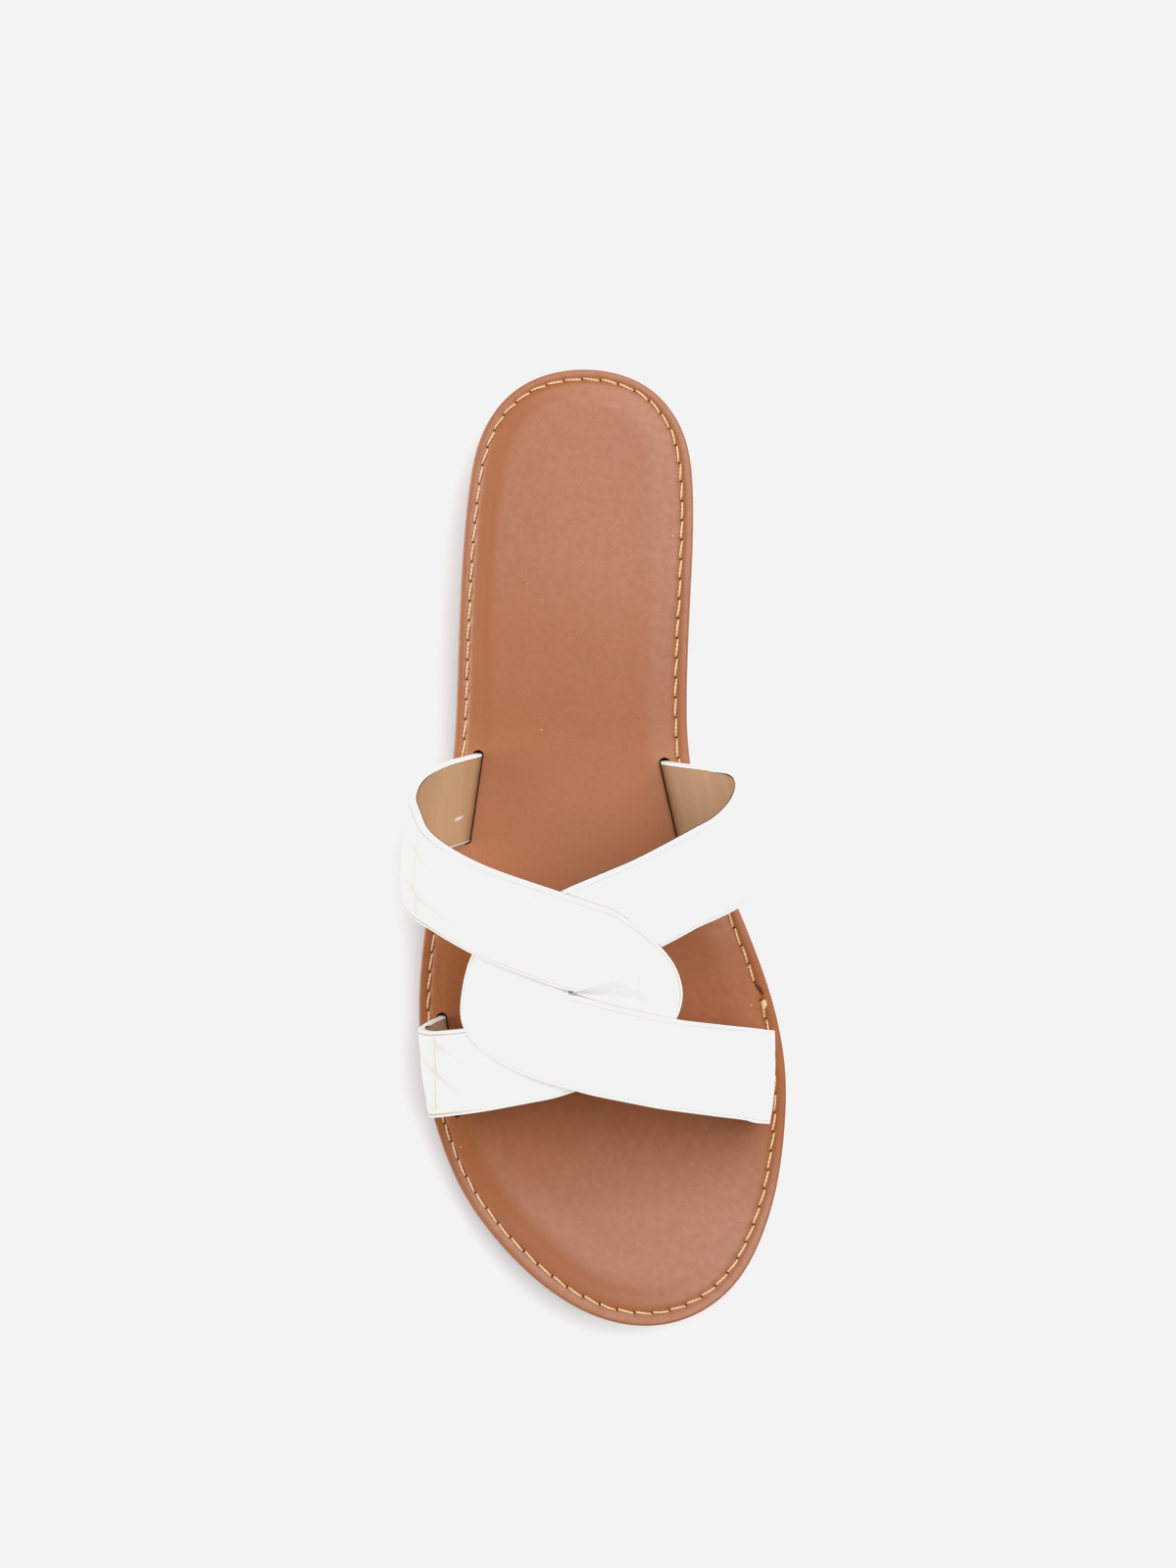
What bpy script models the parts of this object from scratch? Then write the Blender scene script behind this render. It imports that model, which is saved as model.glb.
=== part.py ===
"""Cross strap sandal for the right foot, in metres.

The medial side is +X, the heel is towards +Y, the toe towards -Y and up is +Z. The sandal stands
unbent on its heel and forefoot, and the origin is under the middle of its box.

A place on the sole is given by its share of the sole's length from the heel (along). A place on
the two straps is given by along and by how far round the foot it lies (around): 0 on the ridge
over the foot, 1 at the widest bulge of the side, 2 where the strap enters its slot in the footbed.
Around is negative on the lateral side.
"""

import math
from collections import namedtuple

import bmesh
import bpy
import numpy as np
from mathutils import Matrix

COLLECTION = "cross_strap_sandal"
CUTTERS = "cross_strap_sandal_cutters"

LATERAL = -1
MEDIAL = 1

# Sole sizes
SOLE_LENGTH = 0.248
BALL_WIDTH = 0.0955
SEAT_GAP = 0.0003

# Outsole sizes
FOREFOOT_THICKNESS = 0.006
HEEL_RISE = 0.008
TOE_SPRING = 0.007
ARCH_HEIGHT = 0.0070
OUTSOLE_INSET = 0.0008
OUTSOLE_STEP = 0.0020
BREAST_SLANT = 0.0020
GROOVE_DEPTH = 0.0010
GROOVE_WIDTH = 0.0022
GROOVE_PITCH = 0.0072
TREAD_BORDER = 0.0085

# Footbed sizes
FOOTBED_THICKNESS = 0.0056
PILLOW_RUN = 0.014
PILLOW_CROWN = 0.0008

# Strap sizes
INSTEP_HEIGHT = 0.066
STRAP_THICKNESS = 0.0020
STRAP_SINK = 0.0004
SLOT_CLEARANCE = 0.0003
SLOT_INSET = 0.0064
POCKET_DEPTH = 0.0020
PUNCH_RADIUS = 0.00135
PUNCH_REACH = 0.0009

# Stations along the sole, as shares of its length
HEEL_SHARE = 0.20
BREAST_SHARE = 0.27
ARCH_SHARE = 0.58
BALL_SHARE = 0.62
SPRING_SHARE = 0.78

# Mesh fineness
SIDE_SEGMENTS = 46
STRAP_SEGMENTS = 92
STRAP_COLUMNS = 6
ARCH_SEGMENTS = 12
PUNCH_SIDES = 12

# Sole edge: along is a share of the length, the sides are shares of the ball width from the heel's
# middle line
OutlineRow = namedtuple("OutlineRow", "along lateral medial")
SOLE_OUTLINE = [
    OutlineRow(0.0000, 0.000, 0.000),
    OutlineRow(0.0226, 0.184, 0.192),
    OutlineRow(0.0640, 0.267, 0.272),
    OutlineRow(0.1300, 0.308, 0.301),
    OutlineRow(0.2300, 0.329, 0.295),
    OutlineRow(0.3300, 0.339, 0.285),
    OutlineRow(0.4100, 0.352, 0.294),
    OutlineRow(0.5000, 0.392, 0.358),
    OutlineRow(0.5800, 0.426, 0.443),
    OutlineRow(0.6600, 0.444, 0.518),
    OutlineRow(0.7400, 0.430, 0.555),
    OutlineRow(0.8000, 0.392, 0.551),
    OutlineRow(0.8600, 0.327, 0.528),
    OutlineRow(0.9100, 0.236, 0.487),
    OutlineRow(0.9500, 0.133, 0.430),
    OutlineRow(0.9877, -0.021, 0.312),
    OutlineRow(1.0000, -0.173, 0.173),
]

# Outsole side from the ground up: inset is a share of the step, height a share of the local
# thickness
SideRow = namedtuple("SideRow", "inset height")
OUTSOLE_SIDE = [
    SideRow(1.25, 0.00),
    SideRow(0.55, 0.10),
    SideRow(0.30, 0.50),
    SideRow(0.75, 0.58),
    SideRow(0.75, 0.66),
    SideRow(0.05, 0.74),
    SideRow(0.00, 1.00),
]

# Footbed from its lower edge to the pillow: inset is a share of the pillow run, height a share of
# the thickness. The dip is the line that is stitched down.
FOOTBED_SIDE = [
    SideRow(0.060, 0.00),
    SideRow(0.000, 0.18),
    SideRow(0.000, 0.46),
    SideRow(0.045, 0.65),
    SideRow(0.110, 0.70),
    SideRow(0.185, 0.62),
    SideRow(0.290, 0.79),
    SideRow(0.500, 0.92),
    SideRow(1.000, 1.00),
]
SLOT_DECK = 0.90

# Surface that both straps lie on: ridge and overhangs are shares of the ball width, heights are
# shares of the instep height, and fold sharpens the bend from the top to the side
VampRow = namedtuple("VampRow", "along ridge lateral_out medial_out side_height top_height fold")
VAMP = [
    VampRow(0.399, -0.029, 0.076, 0.106, 0.364, 1.000, 1.00),
    VampRow(0.449, -0.029, 0.088, 0.116, 0.364, 0.940, 1.00),
    VampRow(0.500, -0.029, 0.083, 0.098, 0.364, 0.879, 1.00),
    VampRow(0.547, -0.027, 0.062, 0.046, 0.348, 0.811, 1.00),
    VampRow(0.608, -0.016, 0.024, 0.004, 0.258, 0.712, 1.10),
    VampRow(0.677, 0.000, -0.008, -0.022, 0.167, 0.598, 1.20),
    VampRow(0.731, 0.013, -0.010, -0.041, 0.152, 0.515, 1.25),
    VampRow(0.790, 0.027, -0.003, -0.056, 0.152, 0.440, 1.25),
]

# Ends of the slots from the heel forwards: the rear slot's two ends, then the front slot's. Insets
# are shares of the slot inset.
SlotRow = namedtuple("SlotRow", "lateral_along lateral_inset medial_along medial_inset")
SLOT_ENDS = [
    SlotRow(0.4014, 1.02, 0.4092, 1.06),
    SlotRow(0.4930, 1.08, 0.5113, 1.29),
    SlotRow(0.6766, 0.92, 0.6950, 0.90),
    SlotRow(0.7793, 1.00, 0.7834, 1.03),
]

# Each strap leaves its own side's rear slot, turns round the middle of the cross and comes back to
# the front slot. Around is positive towards the strap's own side here. Layer is +1 where it lies
# over the other strap and -1 where it lies under it.
StrapRow = namedtuple("StrapRow", "inner_around inner_along outer_around outer_along layer")
LATERAL_STRAP = [
    StrapRow(1.500, 0.5055, 1.500, 0.4100, 0.0),
    StrapRow(1.190, 0.5235, 1.200, 0.4255, 0.0),
    StrapRow(1.020, 0.5350, 1.000, 0.4410, 0.0),
    StrapRow(0.960, 0.5482, 0.810, 0.4585, 0.0),
    StrapRow(0.850, 0.5625, 0.672, 0.4793, 0.3),
    StrapRow(0.630, 0.5790, 0.507, 0.4975, 0.8),
    StrapRow(0.410, 0.6033, 0.316, 0.5172, 1.0),
    StrapRow(0.220, 0.6230, 0.090, 0.5375, 1.0),
    StrapRow(0.026, 0.6412, -0.114, 0.5574, 1.0),
    StrapRow(0.020, 0.6427, -0.302, 0.5979, 1.0),
    StrapRow(0.019, 0.6439, -0.364, 0.6387, 0.0),
    StrapRow(0.019, 0.6448, -0.334, 0.6742, -1.0),
    StrapRow(0.022, 0.6460, -0.210, 0.7146, -1.0),
    StrapRow(0.027, 0.6469, -0.037, 0.7419, -1.0),
    StrapRow(0.236, 0.6677, 0.190, 0.7598, -1.0),
    StrapRow(0.486, 0.6852, 0.510, 0.7735, -1.0),
    StrapRow(0.715, 0.6897, 0.760, 0.7788, -0.5),
    StrapRow(0.927, 0.6889, 0.950, 0.7800, 0.0),
    StrapRow(1.200, 0.6855, 1.200, 0.7798, 0.0),
    StrapRow(1.550, 0.6800, 1.550, 0.7792, 0.0),
]
MEDIAL_STRAP = [
    StrapRow(1.500, 0.5260, 1.500, 0.4147, 0.0),
    StrapRow(1.190, 0.5325, 1.190, 0.4215, 0.0),
    StrapRow(1.010, 0.5365, 0.980, 0.4297, 0.0),
    StrapRow(0.920, 0.5450, 0.800, 0.4458, 0.0),
    StrapRow(0.770, 0.5575, 0.605, 0.4676, -0.3),
    StrapRow(0.600, 0.5705, 0.480, 0.4810, -0.8),
    StrapRow(0.460, 0.5825, 0.365, 0.4953, -1.0),
    StrapRow(0.300, 0.6015, 0.190, 0.5180, -1.0),
    StrapRow(0.136, 0.6218, 0.030, 0.5367, -1.0),
    StrapRow(-0.035, 0.6413, -0.146, 0.5574, -1.0),
    StrapRow(-0.040, 0.6426, -0.400, 0.5980, -1.0),
    StrapRow(-0.041, 0.6440, -0.495, 0.6444, 0.0),
    StrapRow(-0.040, 0.6450, -0.486, 0.6852, 1.0),
    StrapRow(-0.039, 0.6458, -0.381, 0.7102, 1.0),
    StrapRow(-0.032, 0.6469, -0.138, 0.7390, 1.0),
    StrapRow(0.155, 0.6625, 0.080, 0.7552, 1.0),
    StrapRow(0.334, 0.6742, 0.260, 0.7661, 1.0),
    StrapRow(0.536, 0.6814, 0.465, 0.7747, 0.7),
    StrapRow(0.760, 0.6870, 0.670, 0.7814, 0.3),
    StrapRow(0.970, 0.6902, 0.930, 0.7868, 0.0),
    StrapRow(1.250, 0.6906, 1.250, 0.7872, 0.0),
    StrapRow(1.600, 0.6926, 1.600, 0.7855, 0.0),
]

# Stretches of the ground face that carry cross grooves
TreadZone = namedtuple("TreadZone", "first last")
TREAD_ZONES = [
    TreadZone(0.045, 0.130),
    TreadZone(0.600, 0.665),
    TreadZone(0.735, 0.930),
]

# Finishes: colour, roughness and metallic value
Finish = namedtuple("Finish", "colour roughness metallic")
FINISHES = {
    "outsole": Finish((0.165, 0.075, 0.042), 0.62, 0.0),
    "footbed": Finish((0.450, 0.205, 0.115), 0.48, 0.0),
    "upper": Finish((0.870, 0.865, 0.850), 0.28, 0.0),
}


def smooth_step(value):
    """Rise from 0 to 1 with level ends."""
    share = np.clip(value, 0.0, 1.0)
    return share * share * (3.0 - 2.0 * share)


def natural_spline(knots, values, at):
    """Cubic spline through the values, with no bend at its two ends."""
    knots = np.asarray(knots, float)
    values = np.asarray(values, float)
    steps = np.diff(knots)
    slopes = np.diff(values) / steps
    count = len(knots)
    system = np.eye(count)
    load = np.zeros(count)
    for row in range(1, count - 1):
        system[row, row - 1:row + 2] = (steps[row - 1], 2.0 * (steps[row - 1] + steps[row]), steps[row])
        load[row] = 6.0 * (slopes[row] - slopes[row - 1])
    bends = np.linalg.solve(system, load)
    at = np.clip(at, knots[0], knots[-1])
    span = np.clip(np.searchsorted(knots, at, side="right") - 1, 0, count - 2)
    step = steps[span]
    after = (at - knots[span]) / step
    before = 1.0 - after
    curved = (before ** 3 - before) * bends[span] + (after ** 3 - after) * bends[span + 1]
    return before * values[span] + after * values[span + 1] + curved * step * step / 6.0


def local_spline(knots, values, at):
    """Curve through the values whose slope at each knot leans to the straighter side."""
    knots = np.asarray(knots, float)
    values = np.asarray(values, float)
    steps = np.diff(knots)
    slopes = np.diff(values) / steps
    first = 2.0 * slopes[0] - slopes[1]
    last = 2.0 * slopes[-1] - slopes[-2]
    slopes = np.concatenate(([2.0 * first - slopes[0], first], slopes, [last, 2.0 * last - slopes[-1]]))
    turns = np.abs(np.diff(slopes)) + 1e-9
    lean = turns[2:] + turns[:-2]
    tangents = (turns[2:] * slopes[1:-2] + turns[:-2] * slopes[2:-1]) / lean
    span = np.clip(np.searchsorted(knots, at, side="right") - 1, 0, len(steps) - 1)
    step = steps[span]
    share = (at - knots[span]) / step
    blend = share * share * (3.0 - 2.0 * share)
    ease_out = share * (1.0 - share) ** 2 * step * tangents[span]
    ease_in = share * share * (share - 1.0) * step * tangents[span + 1]
    return values[span] * (1.0 - blend) + values[span + 1] * blend + ease_out + ease_in


def column(table, name):
    """One named column of a table."""
    return np.array([getattr(row, name) for row in table])


def outline_loop():
    """Points of the closed sole edge, from the heel round the medial side to the toe and back."""
    y = -column(SOLE_OUTLINE, "along") * SOLE_LENGTH
    medial = np.column_stack((column(SOLE_OUTLINE, "medial") * BALL_WIDTH, y))
    lateral = np.column_stack((-column(SOLE_OUTLINE, "lateral") * BALL_WIDTH, y))
    return np.concatenate((medial, lateral[-2:0:-1]))


def sole_edge(side, inset=0.0):
    """Points of one side of the sole edge from heel to toe, moved in by the inset."""
    loop = outline_loop()
    toe = len(SOLE_OUTLINE) - 1
    wrap = 4
    points = np.concatenate((loop[-wrap:], loop, loop[:wrap + 1]))
    lengths = np.linalg.norm(np.diff(points, axis=0), axis=1)
    knots = np.concatenate(([0.0], np.cumsum(lengths)))
    start = knots[wrap] if side == MEDIAL else knots[wrap + len(loop)]
    at = np.linspace(start, knots[wrap + toe], SIDE_SEGMENTS + 1)
    nudge = 0.0001
    plan = [natural_spline(knots, points[:, axis], at) for axis in (0, 1)]
    ahead = [natural_spline(knots, points[:, axis], at + nudge) for axis in (0, 1)]
    behind = [natural_spline(knots, points[:, axis], at - nudge) for axis in (0, 1)]
    run_x = ahead[0] - behind[0]
    run_y = ahead[1] - behind[1]
    size = np.hypot(run_x, run_y)
    return np.column_stack((plan[0] + run_y / size * inset, plan[1] - run_x / size * inset))


def edge_across(side, along):
    """Distance of the sole edge from the heel's middle line at a share of the length."""
    edge = sole_edge(side)
    return np.interp(along, -edge[:, 1] / SOLE_LENGTH, edge[:, 0])


def toe_spring(along):
    """Lift of the sole off the ground towards the toe."""
    share = np.clip((along - SPRING_SHARE) / (1.0 - SPRING_SHARE), 0.0, 1.0)
    return TOE_SPRING * share * share


def outsole_top(along):
    """Height of the outsole's upper face."""
    heel = 1.0 - smooth_step((along - HEEL_SHARE) / (BALL_SHARE - HEEL_SHARE))
    return FOREFOOT_THICKNESS + HEEL_RISE * heel + toe_spring(along)


def deck_height(along):
    """Height of the footbed's upper face at the slots."""
    return outsole_top(along) + SEAT_GAP + SLOT_DECK * FOOTBED_THICKNESS


def slot_across(side, along):
    """Distance of the slots' straight lines from the heel's middle line."""
    name = "lateral" if side == LATERAL else "medial"
    ends = column(SLOT_ENDS, name + "_along")
    insets = column(SLOT_ENDS, name + "_inset") * SLOT_INSET
    places = edge_across(side, ends) - side * insets
    return np.interp(along, ends, places)


def vamp_point(around, along):
    """Place on the surface that the straps follow, for arrays of around and along."""
    stations = column(VAMP, "along")
    ridge = natural_spline(stations, column(VAMP, "ridge"), along) * BALL_WIDTH
    side_z = natural_spline(stations, column(VAMP, "side_height"), along) * INSTEP_HEIGHT
    top_z = natural_spline(stations, column(VAMP, "top_height"), along) * INSTEP_HEIGHT
    fold = natural_spline(stations, column(VAMP, "fold"), along)
    lateral_out = natural_spline(stations, column(VAMP, "lateral_out"), along) * BALL_WIDTH
    medial_out = natural_spline(stations, column(VAMP, "medial_out"), along) * BALL_WIDTH
    bulge = np.where(around < 0.0, edge_across(LATERAL, along) - lateral_out,
                     edge_across(MEDIAL, along) + medial_out)
    slot = np.where(around < 0.0, slot_across(LATERAL, along), slot_across(MEDIAL, along))
    turn = np.clip(np.abs(around), 0.0, 1.0)
    lean = (1.0 - turn) * math.pi / 2.0
    over_x = ridge + (bulge - ridge) * np.cos(lean)
    over_z = side_z + (top_z - side_z) * np.sin(lean) ** fold
    rise = 2.0 - np.abs(around)
    under_x = slot + (bulge - slot) * smooth_step(rise)
    upper_part = np.abs(around) <= 1.0
    x = np.where(upper_part, over_x, under_x)
    z = np.where(upper_part, over_z, side_z * rise) + deck_height(along)
    return np.stack((x, -along * SOLE_LENGTH, z), axis=-1)


def vamp_normal(around, along):
    """Direction away from the foot at a place on the straps' surface."""
    nudge = 0.002
    round_foot = vamp_point(around + nudge, along) - vamp_point(around - nudge, along)
    down_foot = vamp_point(around, along + nudge) - vamp_point(around, along - nudge)
    normal = np.cross(down_foot, round_foot)
    return normal / np.linalg.norm(normal, axis=-1, keepdims=True)


def strap_rows(table, side):
    """Rows of a strap with its two slot ends added, around made signed by the strap's side."""
    name = "lateral_along" if side == LATERAL else "medial_along"
    ends = column(SLOT_ENDS, name)
    rear = StrapRow(2.0, ends[1], 2.0, ends[0], 0.0)
    front = StrapRow(2.0, ends[2], 2.0, ends[3], 0.0)
    rows = np.array([rear, *table, front])
    rows[:, 0] *= side
    rows[:, 2] *= side
    return rows


def strap_grids(table, side):
    """Outer and inner face of a strap, as rows along it and columns from inner to outer edge."""
    rows = strap_rows(table, side)
    inner = vamp_point(rows[:, 0], rows[:, 1])
    outer = vamp_point(rows[:, 2], rows[:, 3])
    pace = np.linalg.norm(np.diff(inner, axis=0), axis=1) + np.linalg.norm(np.diff(outer, axis=0), axis=1)
    knots = np.concatenate(([0.0], np.cumsum(pace)))
    at = np.linspace(0.0, knots[-1], STRAP_SEGMENTS + 1)
    rails = [local_spline(knots, rows[:, index], at)[:, None] for index in range(5)]
    share = np.linspace(0.0, 1.0, STRAP_COLUMNS + 1)[None, :]
    around = rails[0] * (1.0 - share) + rails[2] * share
    along = rails[1] * (1.0 - share) + rails[3] * share
    lift = rails[4] * (STRAP_THICKNESS - STRAP_SINK) / 2.0
    place = vamp_point(around, along)
    away = vamp_normal(around, along)
    drop = np.array([0.0, 0.0, SLOT_DECK * FOOTBED_THICKNESS + SEAT_GAP + POCKET_DEPTH])
    faces = []
    for half in (STRAP_THICKNESS / 2.0, -STRAP_THICKNESS / 2.0):
        face = place + away * (lift + half)[..., None]
        faces.append(np.concatenate((face[:1] - drop, face, face[-1:] - drop)))
    return faces


def new_object(name, mesh, collection):
    """Object with its own finish, or a hidden wire one among the cutters."""
    shape = bpy.data.objects.new(name, mesh)
    collection.objects.link(shape)
    if name in FINISHES:
        mesh.materials.append(material(name))
    else:
        shape.hide_render = True
        shape.display_type = "WIRE"
    return shape


def material(name):
    """Principled finish of one piece."""
    finish = FINISHES[name]
    made = bpy.data.materials.new(name)
    made.use_nodes = True
    shader = made.node_tree.nodes["Principled BSDF"]
    shader.inputs["Base Color"].default_value = (*finish.colour, 1.0)
    shader.inputs["Roughness"].default_value = finish.roughness
    shader.inputs["Metallic"].default_value = finish.metallic
    return made


def grid_mesh(name, grid, closed_round):
    """Mesh of quads over a grid of points, closed round its columns where asked."""
    rows, columns = grid.shape[:2]
    index = np.arange(rows * columns).reshape(rows, columns)
    if closed_round:
        index = np.concatenate((index, index[:, :1]), axis=1)
    corners = (index[:-1, :-1], index[1:, :-1], index[1:, 1:], index[:-1, 1:])
    faces = np.stack(corners, axis=-1).reshape(-1, 4)
    mesh = bpy.data.meshes.new(name)
    mesh.from_pydata(grid.reshape(-1, 3).tolist(), [], faces.tolist())
    return mesh


def close_mesh(mesh):
    """Merge the doubled points where a loft's ends zip up, and turn its faces outwards."""
    shape = bmesh.new()
    shape.from_mesh(mesh)
    bmesh.ops.remove_doubles(shape, verts=shape.verts, dist=0.000002)
    bmesh.ops.dissolve_degenerate(shape, edges=shape.edges, dist=0.000001)
    bmesh.ops.recalc_face_normals(shape, faces=shape.faces)
    shape.to_mesh(mesh)
    shape.free()


def sole_loft(name, rings, crown, collection):
    """Closed body between rings of the sole edge, each an inset and a height function of along."""
    sides = []
    for side in (LATERAL, MEDIAL):
        plans = [sole_edge(side, inset) for inset, _ in rings]
        lines = [np.column_stack((plan, height(-plan[:, 1] / SOLE_LENGTH)))
                 for plan, (_, height) in zip(plans, rings)]
        sides.append(lines)
    lateral, medial = sides
    under = (lateral[0] + medial[0]) / 2.0
    over = (lateral[-1] + medial[-1]) / 2.0
    width = np.linalg.norm(lateral[-1] - medial[-1], axis=1)
    over[:, 2] += crown * width / width.max()
    section = [under, *lateral, over, *reversed(medial)]
    mesh = grid_mesh(name, np.stack(section, axis=1), True)
    close_mesh(mesh)
    mesh.shade_smooth()
    mesh.set_sharp_from_angle(angle=math.radians(35.0))
    return new_object(name, mesh, collection)


def outsole_ring(row):
    """Inset and height function of one row of the outsole's side."""
    def height(along):
        low = toe_spring(along)
        return low + row.height * (outsole_top(along) - low)
    return OUTSOLE_INSET + row.inset * OUTSOLE_STEP, height


def footbed_ring(row):
    """Inset and height function of one row of the footbed's side and pillow."""
    def height(along):
        return outsole_top(along) + SEAT_GAP + row.height * FOOTBED_THICKNESS
    return row.inset * PILLOW_RUN, height


def cut(shape, cutter, operation="DIFFERENCE"):
    """Exact Boolean of a shape with another."""
    step = shape.modifiers.new(cutter.name, "BOOLEAN")
    step.operation = operation
    step.solver = "EXACT"
    step.object = cutter


def thicken(shape, thickness):
    """Give a sheet its thickness, half to each side."""
    wall = shape.modifiers.new("wall", "SOLIDIFY")
    wall.thickness = thickness
    wall.offset = 0.0
    wall.use_even_offset = True


def arch_cutter(cutters):
    """Hollow under the arch: a steep heel breast, then a long curve down to the ball."""
    share = np.linspace(0.0, 1.0, ARCH_SEGMENTS + 1)
    along = BREAST_SHARE + (ARCH_SHARE - BREAST_SHARE) * share
    curve_y = -along * SOLE_LENGTH
    curve_z = ARCH_HEIGHT * (1.0 - share ** 1.5)
    curve_y[0] -= BREAST_SLANT
    below = -ARCH_HEIGHT
    slope = (curve_z[-2] - curve_z[-1]) / (curve_y[-2] - curve_y[-1])
    start = [-BREAST_SHARE * SOLE_LENGTH + BREAST_SLANT, below]
    finish = [curve_y[-1] + below / slope, below]
    profile = np.array([start, *np.column_stack((curve_y, curve_z)), finish])
    walls = [np.column_stack((np.full(len(profile), x), profile)) for x in (-BALL_WIDTH, BALL_WIDTH)]
    mesh = bpy.data.meshes.new("arch_cutter")
    shape = bmesh.new()
    first = shape.faces.new([shape.verts.new(point) for point in walls[0]])
    grown = bmesh.ops.extrude_face_region(shape, geom=[first])
    moved = [item for item in grown["geom"] if isinstance(item, bmesh.types.BMVert)]
    bmesh.ops.translate(shape, verts=moved, vec=(walls[1][0, 0] - walls[0][0, 0], 0.0, 0.0))
    bmesh.ops.recalc_face_normals(shape, faces=shape.faces)
    shape.to_mesh(mesh)
    shape.free()
    return new_object("arch_cutter", mesh, cutters)


def tread_cutter(cutters):
    """Cross grooves of the ground face, each as wide as the sole there inside its border."""
    shape = bmesh.new()
    for zone in TREAD_ZONES:
        count = int((zone.last - zone.first) * SOLE_LENGTH / GROOVE_PITCH) + 1
        for number in range(count):
            along = zone.first + number * GROOVE_PITCH / SOLE_LENGTH
            low = edge_across(LATERAL, along) + TREAD_BORDER
            high = edge_across(MEDIAL, along) - TREAD_BORDER
            slope = (toe_spring(along + 0.01) - toe_spring(along)) / (0.01 * SOLE_LENGTH)
            place = Matrix.Translation(((low + high) / 2.0, -along * SOLE_LENGTH, toe_spring(along)))
            tilt = Matrix.Rotation(-math.atan(slope), 4, "X")
            size = Matrix.Diagonal((high - low, GROOVE_WIDTH, 2.0 * GROOVE_DEPTH, 1.0))
            bmesh.ops.create_cube(shape, size=1.0, matrix=place @ tilt @ size)
    mesh = bpy.data.meshes.new("tread_cutter")
    shape.to_mesh(mesh)
    shape.free()
    return new_object("tread_cutter", mesh, cutters)


def slot_cutters(side, rear, front, cutters):
    """Slot for one strap end, through the footbed and into the outsole, and its punched ends."""
    name = "lateral" if side == LATERAL else "medial"
    ends = column(SLOT_ENDS, name + "_along")[[rear, front]]
    plan = np.column_stack((slot_across(side, ends), -ends * SOLE_LENGTH))
    deck = deck_height(ends)
    run = (plan[1] - plan[0]) / np.linalg.norm(plan[1] - plan[0])
    tab = SLOT_DECK * FOOTBED_THICKNESS + SEAT_GAP + POCKET_DEPTH
    top = deck + FOOTBED_THICKNESS
    bottom = deck - tab - SLOT_CLEARANCE
    low_end = plan[0] - run * SLOT_CLEARANCE
    high_end = plan[1] + run * SLOT_CLEARANCE
    grid = np.array([
        [[*low_end, bottom[0]], [*low_end, top[0]]],
        [[*high_end, bottom[1]], [*high_end, top[1]]],
    ])
    label = f"slot_{name}_{rear}"
    slot = new_object(label, grid_mesh(label, grid, False), cutters)
    thicken(slot, STRAP_THICKNESS + 2.0 * SLOT_CLEARANCE)
    shape = bmesh.new()
    for place, away, height in ((plan[0], -run, deck[0]), (plan[1], run, deck[1])):
        centre = place + away * (PUNCH_REACH - PUNCH_RADIUS)
        matrix = Matrix.Translation((*centre, height))
        bmesh.ops.create_cone(shape, cap_ends=True, segments=PUNCH_SIDES, radius1=PUNCH_RADIUS,
                              radius2=PUNCH_RADIUS, depth=4.0 * FOOTBED_THICKNESS, matrix=matrix)
    label = f"punch_{name}_{rear}"
    mesh = bpy.data.meshes.new(label)
    shape.to_mesh(mesh)
    shape.free()
    return slot, new_object(label, mesh, cutters)


def build_outsole(parts, cutters, slots):
    """Moulded sole with a low heel, hollow arch, cross grooves and pockets for the strap ends."""
    outsole = sole_loft("outsole", [outsole_ring(row) for row in OUTSOLE_SIDE], 0.0, parts)
    cut(outsole, arch_cutter(cutters))
    cut(outsole, tread_cutter(cutters))
    for slot, _ in slots:
        cut(outsole, slot)
    return outsole


def build_footbed(parts, slots):
    """Wrapped and padded insole with a slot and two punched holes for each strap end."""
    footbed = sole_loft("footbed", [footbed_ring(row) for row in FOOTBED_SIDE], PILLOW_CROWN, parts)
    for slot, punch in slots:
        cut(footbed, slot)
        cut(footbed, punch)
    return footbed


def strap_body(name, table, side, collection):
    """Closed strap: its two faces joined round both edges, and its ends filled."""
    outer, inner = strap_grids(table, side)
    mesh = grid_mesh(name, np.concatenate((outer, inner[:, ::-1]), axis=1), True)
    shape = bmesh.new()
    shape.from_mesh(mesh)
    bmesh.ops.holes_fill(shape, edges=shape.edges, sides=0)
    bmesh.ops.recalc_face_normals(shape, faces=shape.faces)
    shape.to_mesh(mesh)
    shape.free()
    return new_object(name, mesh, collection)


def build_upper(parts, cutters):
    """Both straps, linked through each other and joined where they cross."""
    upper = strap_body("upper", LATERAL_STRAP, LATERAL, parts)
    medial = strap_body("medial_strap", MEDIAL_STRAP, MEDIAL, cutters)
    cut(upper, medial, "UNION")
    return upper


def centre_on_ground(pieces, helpers):
    """Move everything so that the origin is under the middle of the pieces' box."""
    bpy.context.view_layer.update()
    graph = bpy.context.evaluated_depsgraph_get()
    points = []
    for piece in pieces:
        mesh = piece.evaluated_get(graph).to_mesh()
        points.append(np.array([vertex.co for vertex in mesh.vertices]))
        piece.evaluated_get(graph).to_mesh_clear()
    points = np.concatenate(points)
    low = points.min(axis=0)
    high = points.max(axis=0)
    shift = (-(low[0] + high[0]) / 2.0, -(low[1] + high[1]) / 2.0, -low[2])
    for item in (*pieces, *helpers):
        item.data.transform(Matrix.Translation(shift))


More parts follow.
